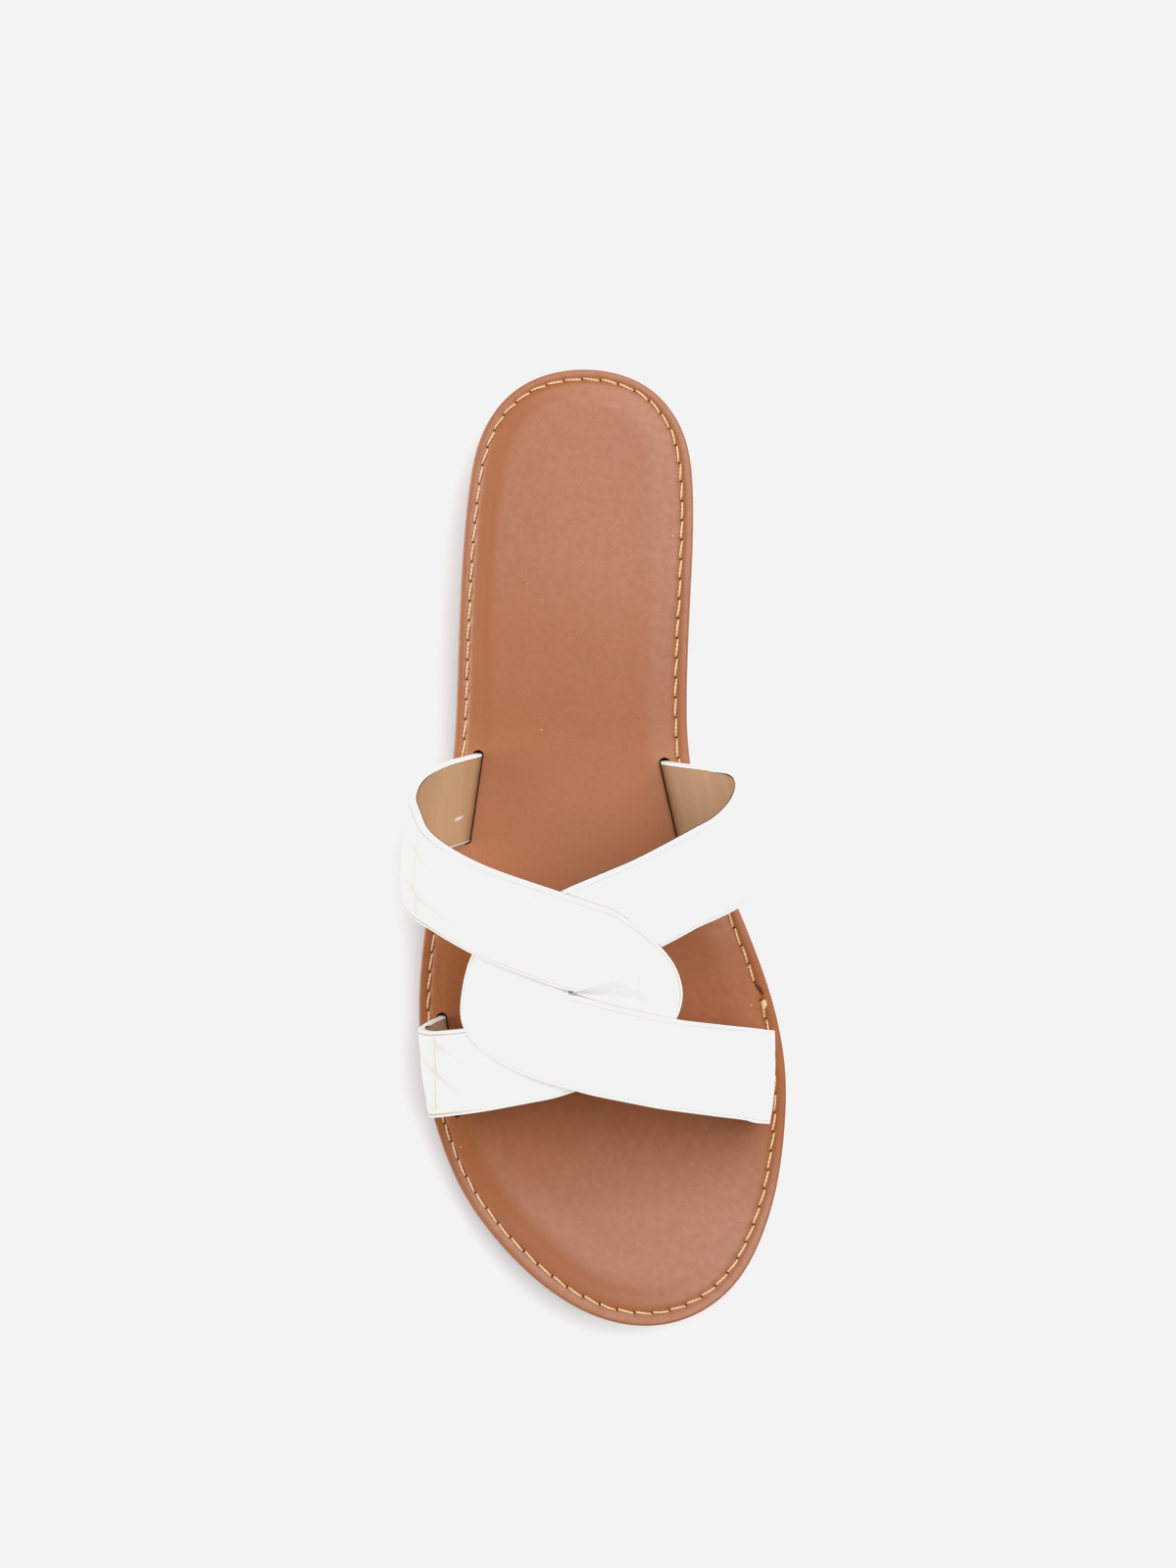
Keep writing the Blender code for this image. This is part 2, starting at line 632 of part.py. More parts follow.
def main():
    """Build the sandal in a scene cleared of objects."""
    for item in list(bpy.data.objects):
        bpy.data.objects.remove(item, do_unlink=True)
    parts = bpy.data.collections.new(COLLECTION)
    cutters = bpy.data.collections.new(CUTTERS)
    bpy.context.scene.collection.children.link(parts)
    bpy.context.scene.collection.children.link(cutters)
    slots = []
    for side in (LATERAL, MEDIAL):
        for rear, front in ((0, 1), (2, 3)):
            slots.append(slot_cutters(side, rear, front, cutters))
    outsole = build_outsole(parts, cutters, slots)
    footbed = build_footbed(parts, slots)
    upper = build_upper(parts, cutters)
    centre_on_ground((outsole, footbed, upper), tuple(cutters.objects))


main()
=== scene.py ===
"""Looks of a right-foot cross strap sandal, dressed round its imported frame.

The heel is towards +Y, the medial side towards +X and up is +Z. A place on the sole is given by
its share of the sole's length from the heel (along). A place on the straps is given by along and
by how far round the foot it lies (around): 0 on the ridge over the foot, 1 at the widest bulge of
the side, 2 at the slot in the footbed, negative on the lateral side.
"""

import itertools
import logging
import math
from dataclasses import dataclass
from enum import Enum
from typing import Callable, NamedTuple

import bmesh
import bpy
import numpy as np
from mathutils import Matrix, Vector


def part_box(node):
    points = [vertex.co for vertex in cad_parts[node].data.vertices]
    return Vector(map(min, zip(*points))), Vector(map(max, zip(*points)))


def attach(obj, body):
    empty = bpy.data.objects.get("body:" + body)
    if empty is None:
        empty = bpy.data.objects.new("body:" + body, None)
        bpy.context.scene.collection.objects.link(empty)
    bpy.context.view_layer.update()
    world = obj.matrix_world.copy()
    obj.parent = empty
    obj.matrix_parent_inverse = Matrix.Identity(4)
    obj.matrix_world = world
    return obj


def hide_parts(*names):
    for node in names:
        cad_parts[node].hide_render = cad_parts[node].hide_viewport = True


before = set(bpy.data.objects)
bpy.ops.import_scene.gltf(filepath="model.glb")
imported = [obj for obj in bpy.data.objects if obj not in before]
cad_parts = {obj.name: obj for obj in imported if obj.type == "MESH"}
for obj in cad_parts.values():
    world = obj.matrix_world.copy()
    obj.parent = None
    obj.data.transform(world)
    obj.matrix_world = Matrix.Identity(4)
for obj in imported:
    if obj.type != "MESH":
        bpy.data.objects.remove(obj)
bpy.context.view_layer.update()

LOG = logging.getLogger("sandal")
Array = np.ndarray
Colour = tuple[float, float, float]
Material = bpy.types.Material
Mesh = bpy.types.Mesh
Object = bpy.types.Object
Socket = bpy.types.NodeSocket
NOISE_RANGE = (0.3, 0.7)
MERGE_REACH = 0.000002


class Side(Enum):
    """Side of the shoe, signed along X."""

    LATERAL = -1
    MEDIAL = 1


class Face(Enum):
    """Material of a strap's face, by its slot."""

    LEATHER = 0
    # Groove by the painted edge, coloured darker as a painted shade.
    LINE = 1
    PAINT = 2
    # Dark glue line, which peeks out past a free edge as a painted contact shadow.
    GLUE = 3
    LINING = 4


class OutlineRow(NamedTuple):
    """Sole edge at one station: shares of the ball width from the heel's middle line."""

    along: float
    lateral: float
    medial: float


class SideRow(NamedTuple):
    """Point of a sole's side: inset in metres and share of the thickness."""

    inset: float
    height: float


class VampRow(NamedTuple):
    """Section of the surface that both straps lie on, in shares of ball width and instep height."""

    along: float
    ridge: float
    lateral_out: float
    medial_out: float
    side_height: float
    top_height: float
    fold: float


class SlotRow(NamedTuple):
    """End of a slot on each side: share of the length and inset as a share of the slot inset."""

    lateral_along: float
    lateral_inset: float
    medial_along: float
    medial_inset: float


class LampRow(NamedTuple):
    """Distant lamp: its power, the angle that it fills and its two turns from overhead, in degrees."""

    name: str
    power: float
    spread: float
    turn_x: float
    turn_y: float


class EdgeRow(NamedTuple):
    """Point of a strap's edge: inset and share of half the thickness, then both at the slots."""

    margin: float
    height: float
    slot_margin: float
    slot_height: float
    kind: Face


class StrapRow(NamedTuple):
    """Cross line of a strap from its inner to its outer edge, with its layer over (+1) or under (-1)."""

    inner_around: float
    inner_along: float
    outer_around: float
    outer_along: float
    layer: float


SOLE_OUTLINE = [OutlineRow(*row) for row in (
    (0.0000, 0.000, 0.000),
    (0.0226, 0.184, 0.192),
    (0.0640, 0.267, 0.272),
    (0.1300, 0.308, 0.301),
    (0.2300, 0.329, 0.295),
    (0.3300, 0.339, 0.285),
    (0.4100, 0.352, 0.294),
    (0.5000, 0.392, 0.358),
    (0.5800, 0.426, 0.443),
    (0.6600, 0.444, 0.518),
    (0.7400, 0.430, 0.555),
    (0.8000, 0.392, 0.551),
    (0.8600, 0.327, 0.528),
    (0.9100, 0.236, 0.487),
    (0.9500, 0.133, 0.430),
    (0.9877, -0.021, 0.312),
    (1.0000, -0.173, 0.173),
)]

VAMP = [VampRow(*row) for row in (
    (0.399, -0.029, 0.076, 0.106, 0.364, 1.000, 1.00),
    (0.449, -0.029, 0.088, 0.116, 0.364, 0.940, 1.00),
    (0.500, -0.029, 0.083, 0.098, 0.364, 0.879, 1.00),
    (0.547, -0.027, 0.062, 0.046, 0.348, 0.811, 1.00),
    (0.608, -0.016, 0.024, 0.004, 0.258, 0.712, 1.10),
    (0.677, 0.000, -0.008, -0.022, 0.167, 0.598, 1.20),
    (0.731, 0.013, -0.010, -0.041, 0.152, 0.515, 1.25),
    (0.790, 0.027, -0.003, -0.056, 0.152, 0.440, 1.25),
)]

SLOT_ENDS = [SlotRow(*row) for row in (
    (0.4014, 1.02, 0.4092, 1.06),
    (0.4930, 1.08, 0.5113, 1.29),
    (0.6766, 0.92, 0.6950, 0.90),
    (0.7793, 1.00, 0.7834, 1.03),
)]

LATERAL_STRAP = [StrapRow(*row) for row in (
    (1.500, 0.5055, 1.500, 0.4100, 0.0),
    (1.190, 0.5235, 1.200, 0.4255, 0.0),
    (1.020, 0.5350, 1.000, 0.4410, 0.0),
    (0.960, 0.5482, 0.810, 0.4585, 0.0),
    (0.850, 0.5625, 0.672, 0.4793, 0.3),
    (0.630, 0.5790, 0.507, 0.4975, 0.8),
    (0.410, 0.6033, 0.316, 0.5172, 1.0),
    (0.220, 0.6230, 0.090, 0.5375, 1.0),
    (0.026, 0.6412, -0.114, 0.5574, 1.0),
    (0.020, 0.6427, -0.302, 0.5979, 1.0),
    (0.019, 0.6439, -0.364, 0.6387, 0.0),
    (0.019, 0.6448, -0.334, 0.6742, -1.0),
    (0.022, 0.6460, -0.210, 0.7146, -1.0),
    (0.027, 0.6469, -0.037, 0.7419, -1.0),
    (0.236, 0.6677, 0.190, 0.7598, -1.0),
    (0.486, 0.6852, 0.510, 0.7735, -1.0),
    (0.715, 0.6897, 0.760, 0.7788, -0.5),
    (0.927, 0.6889, 0.950, 0.7800, 0.0),
    (1.200, 0.6855, 1.200, 0.7798, 0.0),
    (1.550, 0.6800, 1.550, 0.7792, 0.0),
)]

MEDIAL_STRAP = [StrapRow(*row) for row in (
    (1.500, 0.5260, 1.500, 0.4147, 0.0),
    (1.190, 0.5325, 1.190, 0.4215, 0.0),
    (1.010, 0.5365, 0.980, 0.4297, 0.0),
    (0.920, 0.5450, 0.800, 0.4458, 0.0),
    (0.770, 0.5575, 0.605, 0.4676, -0.3),
    (0.600, 0.5705, 0.480, 0.4810, -0.8),
    (0.460, 0.5825, 0.365, 0.4953, -1.0),
    (0.300, 0.6015, 0.190, 0.5180, -1.0),
    (0.136, 0.6218, 0.030, 0.5367, -1.0),
    (-0.035, 0.6413, -0.146, 0.5574, -1.0),
    (-0.040, 0.6426, -0.400, 0.5980, -1.0),
    (-0.041, 0.6440, -0.495, 0.6444, 0.0),
    (-0.040, 0.6450, -0.486, 0.6852, 1.0),
    (-0.039, 0.6458, -0.381, 0.7102, 1.0),
    (-0.032, 0.6469, -0.138, 0.7390, 1.0),
    (0.155, 0.6625, 0.080, 0.7552, 1.0),
    (0.334, 0.6742, 0.260, 0.7661, 1.0),
    (0.536, 0.6814, 0.465, 0.7747, 0.7),
    (0.760, 0.6870, 0.670, 0.7814, 0.3),
    (0.970, 0.6902, 0.930, 0.7868, 0.0),
    (1.250, 0.6906, 1.250, 0.7872, 0.0),
    (1.600, 0.6926, 1.600, 0.7855, 0.0),
)]


@dataclass(frozen=True)
class Ring:
    """Ring of a sole's loft: its plain inset, and its inset and height round the edge."""

    plain: float
    inset: Callable[[Array, Side], Array]
    height: Callable[[Array, Array], Array]


def column(table: list, name: str) -> Array:
    """One named column of a table."""
    return np.array([getattr(row, name) for row in table])


def smooth_step(value: Array, start: float = 0.0, length: float = 1.0) -> Array:
    """Rise from 0 to 1 with level ends over a length: 3s^2 - 2s^3 of the clipped share s."""
    share = np.clip((value - start) / length, 0.0, 1.0)
    return share * share * (3.0 - 2.0 * share)


def run_along(points: Array) -> Array:
    """Distance of each point from the first, along the line through them."""
    return np.concatenate(([0.0], np.cumsum(np.linalg.norm(np.diff(points, axis=0), axis=1))))


def with_ends(rows: Array) -> Array:
    """Rows with the first and the last one doubled."""
    return np.concatenate((rows[:1], rows, rows[-1:]))


def unit(vectors: Array) -> Array:
    """Each vector at length 1."""
    return vectors / np.linalg.norm(vectors, axis=-1, keepdims=True)


def natural_spline(knots: Array, values: Array, at: Array) -> Array:
    """Cubic spline with no bend at its two ends.

    Args:
        knots: rising parameters of the values.
        values: one value a knot.
        at: parameters to read, clipped to the knots.

    Returns:
        The spline's values: each span is a line plus the cubic that its two end bends give.
    """
    steps = np.diff(knots)
    slopes = np.diff(values) / steps
    count = len(knots)
    system = np.eye(count)
    load = np.zeros(count)
    for row in range(1, count - 1):
        system[row, row - 1:row + 2] = (steps[row - 1], 2.0 * (steps[row - 1] + steps[row]), steps[row])
        load[row] = 6.0 * (slopes[row] - slopes[row - 1])
    bends = np.linalg.solve(system, load)
    at = np.clip(at, knots[0], knots[-1])
    span = np.clip(np.searchsorted(knots, at, side="right") - 1, 0, count - 2)
    step = steps[span]
    after = (at - knots[span]) / step
    before = 1.0 - after
    curved = (before ** 3 - before) * bends[span] + (after ** 3 - after) * bends[span + 1]
    return before * values[span] + after * values[span + 1] + curved * step * step / 6.0


def local_spline(knots: Array, values: Array, at: Array) -> Array:
    """Curve whose slope at each knot leans to the straighter neighbouring span.

    Args:
        knots: rising parameters of the values.
        values: one value a knot.
        at: parameters to read.

    Returns:
        The Hermite curve's values, with slopes weighted by how little the next spans turn.
    """
    steps = np.diff(knots)
    slopes = np.diff(values) / steps
    first = 2.0 * slopes[0] - slopes[1]
    last = 2.0 * slopes[-1] - slopes[-2]
    slopes = np.concatenate(([2.0 * first - slopes[0], first], slopes, [last, 2.0 * last - slopes[-1]]))
    turns = np.abs(np.diff(slopes)) + 1e-9
    tangents = (turns[2:] * slopes[1:-2] + turns[:-2] * slopes[2:-1]) / (turns[2:] + turns[:-2])
    span = np.clip(np.searchsorted(knots, at, side="right") - 1, 0, len(steps) - 1)
    step = steps[span]
    share = (at - knots[span]) / step
    blend = smooth_step(share)
    ease = share * (1.0 - share) ** 2 * step * tangents[span]
    ease = ease + share * share * (share - 1.0) * step * tangents[span + 1]
    return values[span] * (1.0 - blend) + values[span + 1] * blend + ease


def hashed(first: Array, second: Array, seed: float) -> Array:
    """Repeatable number from 0 to 1 for each pair: the fraction of a large sine of the pair."""
    wave = np.sin(first * 127.1 + second * 311.7 + seed * 74.7) * 43758.5453
    return wave - np.floor(wave)


def grid_mesh(name: str, grid: Array, wrap: bool, uv: Array | None = None,
              faces_of: Array | None = None, caps: bool = False) -> Mesh:
    """Mesh of quads over a grid of points.

    Args:
        name: the mesh's name.
        grid: points, rows by columns by 3.
        wrap: whether the last column joins the first.
        uv: UV of each grid point, rows by columns by 2.
        faces_of: material slot of each column of quads.
        caps: whether the first and last rows are closed with a face each.

    Returns:
        The mesh, its UV written by face corner.
    """
    rows, columns = grid.shape[:2]
    index = np.arange(rows * columns).reshape(rows, columns)
    if wrap:
        index = np.concatenate((index, index[:, :1]), axis=1)
    quads = np.stack((index[:-1, :-1], index[1:, :-1], index[1:, 1:], index[:-1, 1:]), axis=-1)
    faces = quads.reshape(-1, 4).tolist()
    if caps:
        faces.append(index[0, :columns].tolist())
        faces.append(index[-1, :columns][::-1].tolist())
    mesh = bpy.data.meshes.new(name)
    mesh.from_pydata(grid.reshape(-1, 3).tolist(), [], faces)
    if faces_of is not None:
        slots = np.tile(faces_of, rows - 1)
        slots = np.concatenate((slots, np.full(len(faces) - len(slots), faces_of[0])))
        mesh.polygons.foreach_set("material_index", slots.astype(np.int32))
    if uv is not None:
        corners = np.empty(len(mesh.loops), dtype=np.int32)
        mesh.loops.foreach_get("vertex_index", corners)
        layer = mesh.uv_layers.new(name="surface")
        layer.data.foreach_set("uv", uv.reshape(-1, 2)[corners].ravel())
    mesh.polygons.foreach_set("use_smooth", np.ones(len(mesh.polygons), dtype=bool))
    return mesh


def tidy_mesh(mesh: Mesh, reach: float = MERGE_REACH) -> None:
    """Merge doubled points where a loft zips up, and turn the faces outwards.

    Args:
        mesh: the mesh to clean.
        reach: distance under which points are the same.
    """
    shape = bmesh.new()
    shape.from_mesh(mesh)
    bmesh.ops.remove_doubles(shape, verts=shape.verts, dist=reach)
    bmesh.ops.dissolve_degenerate(shape, edges=shape.edges, dist=reach / 2.0)
    bmesh.ops.recalc_face_normals(shape, faces=shape.faces)
    shape.to_mesh(mesh)
    shape.free()


def new_piece(name: str, mesh: Mesh, materials: list[Material]) -> Object:
    """Object at the origin with its materials, linked to the scene."""
    piece = bpy.data.objects.new(name, mesh)
    for finish in materials:
        mesh.materials.append(finish)
    bpy.context.scene.collection.objects.link(piece)
    return piece


def join_meshes(name: str, parts: list[Mesh], reach: float) -> Mesh:
    """One tidied mesh of several, which are dropped; the reach is that of tidy_mesh."""
    shape = bmesh.new()
    for part in parts:
        shape.from_mesh(part)
        bpy.data.meshes.remove(part)
    mesh = bpy.data.meshes.new(name)
    shape.to_mesh(mesh)
    shape.free()
    tidy_mesh(mesh, reach)
    return mesh


def prism(name: str, rings: list, wall: Material) -> Object:
    """Closed cutter between like rings of points."""
    mesh = grid_mesh(name, np.array(rings), True, caps=True)
    tidy_mesh(mesh)
    return new_piece(name, mesh, [wall])


def cut_away(piece: Object, cutters: list[Object]) -> None:
    """Cut the piece with each cutter by an exact Boolean, keep the result and drop the cutters.

    Args:
        piece: the object that keeps the result in its own mesh.
        cutters: closed objects, removed afterwards.
    """
    for cutter in cutters:
        step = piece.modifiers.new(cutter.name, "BOOLEAN")
        step.operation = "DIFFERENCE"
        step.solver = "EXACT"
        step.object = cutter
    graph = bpy.context.evaluated_depsgraph_get()
    mesh = bpy.data.meshes.new_from_object(piece.evaluated_get(graph), depsgraph=graph)
    piece.modifiers.clear()
    old = piece.data
    piece.data = mesh
    mesh.name = piece.name
    bpy.data.meshes.remove(old)
    for cutter in cutters:
        bpy.data.objects.remove(cutter, do_unlink=True)


@dataclass(frozen=True)
class Mark:
    """One small stain: middle, turn of its long axis about Z, half its length and width, and colour."""

    centre: tuple[float, float, float]
    turn: float
    length: float
    width: float
    colour: Colour


class Nodes:
    """Small builder of a material's node tree round one Principled shader."""

    def __init__(self, name: str) -> None:
        """Start an empty tree with a Principled shader joined to the output."""
        self.material = bpy.data.materials.new(name)
        self.material.use_nodes = True
        self.tree = self.material.node_tree
        self.shader = self.tree.nodes["Principled BSDF"]

    def add(self, kind: str, inputs: dict | None = None, **settings: object) -> bpy.types.Node:
        """Add a node.

        Args:
            kind: the node's type name.
            inputs: sockets by name or number, each given a value or another node's output.
            settings: properties of the node.

        Returns:
            The node.
        """
        node = self.tree.nodes.new(kind)
        for key, value in settings.items():
            setattr(node, key, value)
        for key, value in (inputs or {}).items():
            self.feed(node.inputs[key], value)
        return node

    def feed(self, socket: Socket, value: object) -> None:
        """Link another node's output to a socket, or set its value."""
        if isinstance(value, Socket):
            self.tree.links.new(value, socket)
        else:
            socket.default_value = value

    def maths(self, operation: str, *values: object) -> Socket:
        """Result of a Math node."""
        node = self.add("ShaderNodeMath", dict(enumerate(values)), operation=operation)
        return node.outputs[0]

    def vector(self, operation: str, *values: object) -> bpy.types.Node:
        """Vector Math node."""
        return self.add("ShaderNodeVectorMath", dict(enumerate(values)), operation=operation)

    def noise(self, vector: object, scale: float, detail: float, roughness: float = 0.5) -> Socket:
        """Value of a noise texture over a vector."""
        inputs = {"Vector": vector, "Scale": scale, "Detail": detail, "Roughness": roughness}
        return self.add("ShaderNodeTexNoise", inputs).outputs[0]

    def remap(self, value: object, low: float, high: float, to_low: float, to_high: float) -> Socket:
        """Value carried from one range to another, clamped."""
        inputs = {0: value, 1: low, 2: high, 3: to_low, 4: to_high}
        return self.add("ShaderNodeMapRange", inputs).outputs[0]

    def spread(self, noise: object, low: float, high: float) -> Socket:
        """Noise carried from its usual range to another."""
        return self.remap(noise, *NOISE_RANGE, low, high)

    def off(self, value: object, middle: float) -> Socket:
        """Distance of a value from a middle one."""
        return self.maths("ABSOLUTE", self.maths("SUBTRACT", value, middle))

    def mix(self, factor: object, first: object, second: object) -> Socket:
        """Colour between two, by the factor."""
        node = self.add("ShaderNodeMix", data_type="RGBA")
        self.feed(node.inputs[0], factor)
        for socket, value in ((node.inputs[6], first), (node.inputs[7], second)):
            self.feed(socket, (*value, 1.0) if isinstance(value, tuple) else value)
        return node.outputs[2]

    def bump(self, height: object, strength: float, distance: float, under: object = None) -> Socket:
        """Normal of a bump of a height in metres, laid over another bump where given."""
        inputs = {"Strength": strength, "Distance": distance, "Height": height}
        if under is not None:
            inputs["Normal"] = under
        return self.add("ShaderNodeBump", inputs).outputs[0]

    def stain(self, place: object, mark: Mark) -> Socket:
        """Share of one ragged mark: high where the stretched distance from its middle is under 1.

        Args:
            place: the object coordinates.
            mark: the mark.

        Returns:
            The share, from 0 to 0.85.
        """
        off = self.vector("SUBTRACT", place, mark.centre).outputs[0]
        turn = {"Vector": off, "Angle": -mark.turn}
        turned = self.add("ShaderNodeVectorRotate", turn, rotation_type="Z_AXIS").outputs[0]
        stretch = (1.0 / mark.length, 1.0 / mark.width, 0.2 / mark.length)
        drawn = self.vector("MULTIPLY", turned, stretch).outputs[0]
        reach = self.vector("LENGTH", drawn).outputs["Value"]
        ragged = self.maths("ADD", reach, self.spread(self.noise(place, 2500.0, 2.0), -0.35, 0.35))
        return self.remap(ragged, 0.75, 1.15, 0.85, 0.0)

    def place(self) -> Socket:
        """Object coordinates, in metres."""
        return self.add("ShaderNodeTexCoord").outputs["Object"]

    def surface(self) -> tuple[Socket, Socket]:
        """The piece's own UV as two numbers in metres."""
        uv = self.add("ShaderNodeUVMap", uv_map="surface").outputs[0]
        parts = self.add("ShaderNodeSeparateXYZ", {0: uv})
        return parts.outputs[0], parts.outputs[1]

    def carried(self, name: str) -> Socket:
        """Number that the mesh carries under a name."""
        return self.add("ShaderNodeAttribute", attribute_name=name).outputs["Fac"]

    def finish(self, colour: object, roughness: object, normal: object) -> Material:
        """The material, its shader given a colour, a roughness and a normal."""
        for name, value in (("Base Color", colour), ("Roughness", roughness), ("Normal", normal)):
            self.feed(self.shader.inputs[name], value)
        return self.material


@dataclass(frozen=True)
class SmoothLeather:
    """Satin tan leather: grain, faint clouds, the seam's needle holes painted dark as the shade inside them,
    a scar and a few specks.

    It is paler just behind the straps' cross, a painted light, and its sheen is weaker among the front
    arms of the straps, a painted shade where they hide the light.
    """

    name: str
    colour: Colour
    deep: Colour
    # Painted light: the paler colour just behind the straps' cross.
    painted_light: Colour
    # Painted shade: the dark colour inside the needle holes, also laid over the scar.
    hole: Colour
    scar: Mark
    roughness: float
    specular: float
    seam_inset: float
    stitch: float
    # Middle of the painted light, in y.
    painted_light_y: float = 0.003
    # Middle of a painted shade on the sheen, in y: the leather is duller where the front arms of the straps
    # hide the light.
    sheen_shade_y: float = -0.050
    hole_edge: tuple[float, float] = (0.00018, 0.00040)
    speck: Colour = (0.80, 0.70, 0.62)
    speck_scale: float = 135.0

    def tone(self, nodes: Nodes, place: Socket, mottle: Socket, y: Socket) -> Socket:
        """Colour without the holes: clouds and mottle, a painted shade deepening towards the toe, and a
        painted light, paler, just behind the straps' cross.
        """
        cloud = nodes.noise(place, 34.0, 3.0)
        deep = nodes.maths("ADD", nodes.spread(cloud, 0.0, 0.30), nodes.spread(mottle, 0.0, 0.50))
        # Painted shade: the colour deepens towards the toe.
        deep = nodes.maths("ADD", deep, nodes.remap(y, -0.09, -0.03, 0.5, 0.0))
        base = nodes.mix(deep, self.colour, self.deep)
        # Painted light: a paler tone just behind the straps' cross lifts the shade that the straps cast
        # there.
        painted_light = nodes.remap(nodes.off(y, self.painted_light_y), 0.006, 0.030, 0.5, 0.0)
        base = nodes.mix(painted_light, base, self.painted_light)
        specks = {"Vector": place, "Scale": self.speck_scale}
        near = nodes.add("ShaderNodeTexVoronoi", specks).outputs["Distance"]
        return nodes.mix(nodes.remap(near, 0.014, 0.027, 0.8, 0.0), base, self.speck)

    def holes(self, nodes: Nodes) -> Socket:
        """Share of the needle holes, painted dark as the shade inside them: discs a stitch apart on the
        seam's line of the UV.
        """
        run, inset = nodes.surface()
        phase = nodes.maths("FRACT", nodes.maths("ADD", nodes.maths("DIVIDE", run, self.stitch), 0.5))
        step = nodes.maths("MULTIPLY", nodes.maths("SUBTRACT", phase, 0.5), self.stitch)
        aside = nodes.maths("SUBTRACT", inset, self.seam_inset)
        squares = [nodes.maths("MULTIPLY", part, part) for part in (step, aside)]
        off = nodes.maths("SQRT", nodes.maths("ADD", *squares))
        return nodes.remap(off, *self.hole_edge, 1.0, 0.0)

    def make(self) -> Material:
        """Material over the object's coordinates and the cover's UV."""
        nodes = Nodes(self.name)
        place = nodes.place()
        mottle = nodes.noise(place, 520.0, 3.0, 0.6)
        pores = nodes.noise(place, 1900.0, 2.0, 0.6)
        y = nodes.add("ShaderNodeSeparateXYZ", {0: place}).outputs[1]
        torn = nodes.stain(place, self.scar)
        base = nodes.mix(torn, self.tone(nodes, place, mottle, y), self.scar.colour)
        # The holes are painted dark as their shade; the scar takes the same dark colour.
        hole = nodes.maths("MAXIMUM", self.holes(nodes), nodes.maths("MULTIPLY", torn, 0.9))
        # Painted shade on the sheen: less specular where the straps hide the light, and hardly any in the
        # holes and the scar.
        shine = nodes.remap(nodes.off(y, self.sheen_shade_y), 0.022, 0.046, 0.35 * self.specular, self.specular)
        shine = nodes.maths("MULTIPLY", shine, nodes.remap(hole, 0.0, 1.0, 1.0, 0.08))
        nodes.feed(nodes.shader.inputs["Specular IOR Level"], shine)
        grain = nodes.bump(mottle, 0.18, 0.00022, nodes.bump(pores, 0.22, 0.00010))
        dent = nodes.bump(nodes.maths("MULTIPLY", hole, -1.0), 0.8, 0.0004, grain)
        rough = nodes.spread(mottle, self.roughness - 0.05, self.roughness + 0.06)
        return nodes.finish(nodes.mix(hole, base, self.hole), rough, dent)


@dataclass(frozen=True)
class PressedLeather:
    """White leather, creamier on the strap's bent sides as a painted shade: its scales are in the mesh,
    under a clear coat.
    """

    name: str
    colour: Colour
    hollow: Colour
    # Painted shade: the creamier colour on the strap's bent sides, which get less light.
    side: Colour
    # Painted shade: the darker colour in the scales' troughs.
    crease: Colour
    roughness: float
    coat: float
    coat_roughness: float = 0.12

    def make(self) -> Material:
        """Material with fine wrinkles, whose painted shade in the troughs and on the bent sides follows
        numbers that the mesh carries.
        """
        nodes = Nodes(self.name)
        place = nodes.place()
        cloud = nodes.noise(place, 60.0, 2.0)
        wrinkle = nodes.noise(place, 420.0, 4.0, 0.62)
        pores = nodes.noise(place, 2400.0, 2.0)
        block = nodes.mix(nodes.remap(cloud, 0.35, 0.75, 0.0, 1.0), self.colour, self.hollow)
        # Painted shade on the bent sides.
        block = nodes.mix(nodes.carried("bent"), block, self.side)
        # Painted shade in the scales' troughs.
        block = nodes.mix(nodes.carried("crease"), block, self.crease)
        nodes.shader.inputs["Coat Weight"].default_value = self.coat
        nodes.shader.inputs["Coat Roughness"].default_value = self.coat_roughness
        rough = nodes.spread(wrinkle, self.roughness - 0.04, self.roughness + 0.08)
        fine = nodes.bump(pores, 0.10, 0.00006)
        return nodes.finish(block, rough, nodes.bump(wrinkle, 0.16, 0.00025, fine))


@dataclass(frozen=True)
class LiningLeather:
    """Thin tan lining with a soft sheen, faint streaks, a painted shade near the slots and one small pale
    spot.
    """

    name: str
    colour: Colour
    deep: Colour
    # Painted shade: the darker colour of the lining near the slots.
    fold: Colour
    # One small pale spot, painted at a given place on the lateral lining.
    pale_spot: Mark
    roughness: float
    streaks: tuple[float, float] = (260.0, 22.0)

    def make(self) -> Material:
        """Material streaked across the strap, where it was bent, by its own UV."""
        nodes = Nodes(self.name)
        parts = [nodes.maths("MULTIPLY", *pair) for pair in zip(nodes.surface(), self.streaks)]
        stretch = nodes.add("ShaderNodeCombineXYZ", dict(enumerate(parts))).outputs[0]
        streak = nodes.noise(stretch, 1.0, 3.0)
        place = nodes.place()
        pores = nodes.noise(place, 1500.0, 3.0)
        base = nodes.mix(nodes.spread(streak, 0.0, 1.0), self.colour, self.deep)
        # Painted shade near the slots, where the strap turns down into them.
        base = nodes.mix(nodes.maths("MULTIPLY", nodes.carried("tuck"), 0.75), base, self.fold)
        base = nodes.mix(nodes.stain(place, self.pale_spot), base, self.pale_spot.colour)
        rough = nodes.spread(streak, self.roughness, self.roughness + 0.1)
        return nodes.finish(base, rough, nodes.bump(pores, 0.15, 0.00012))


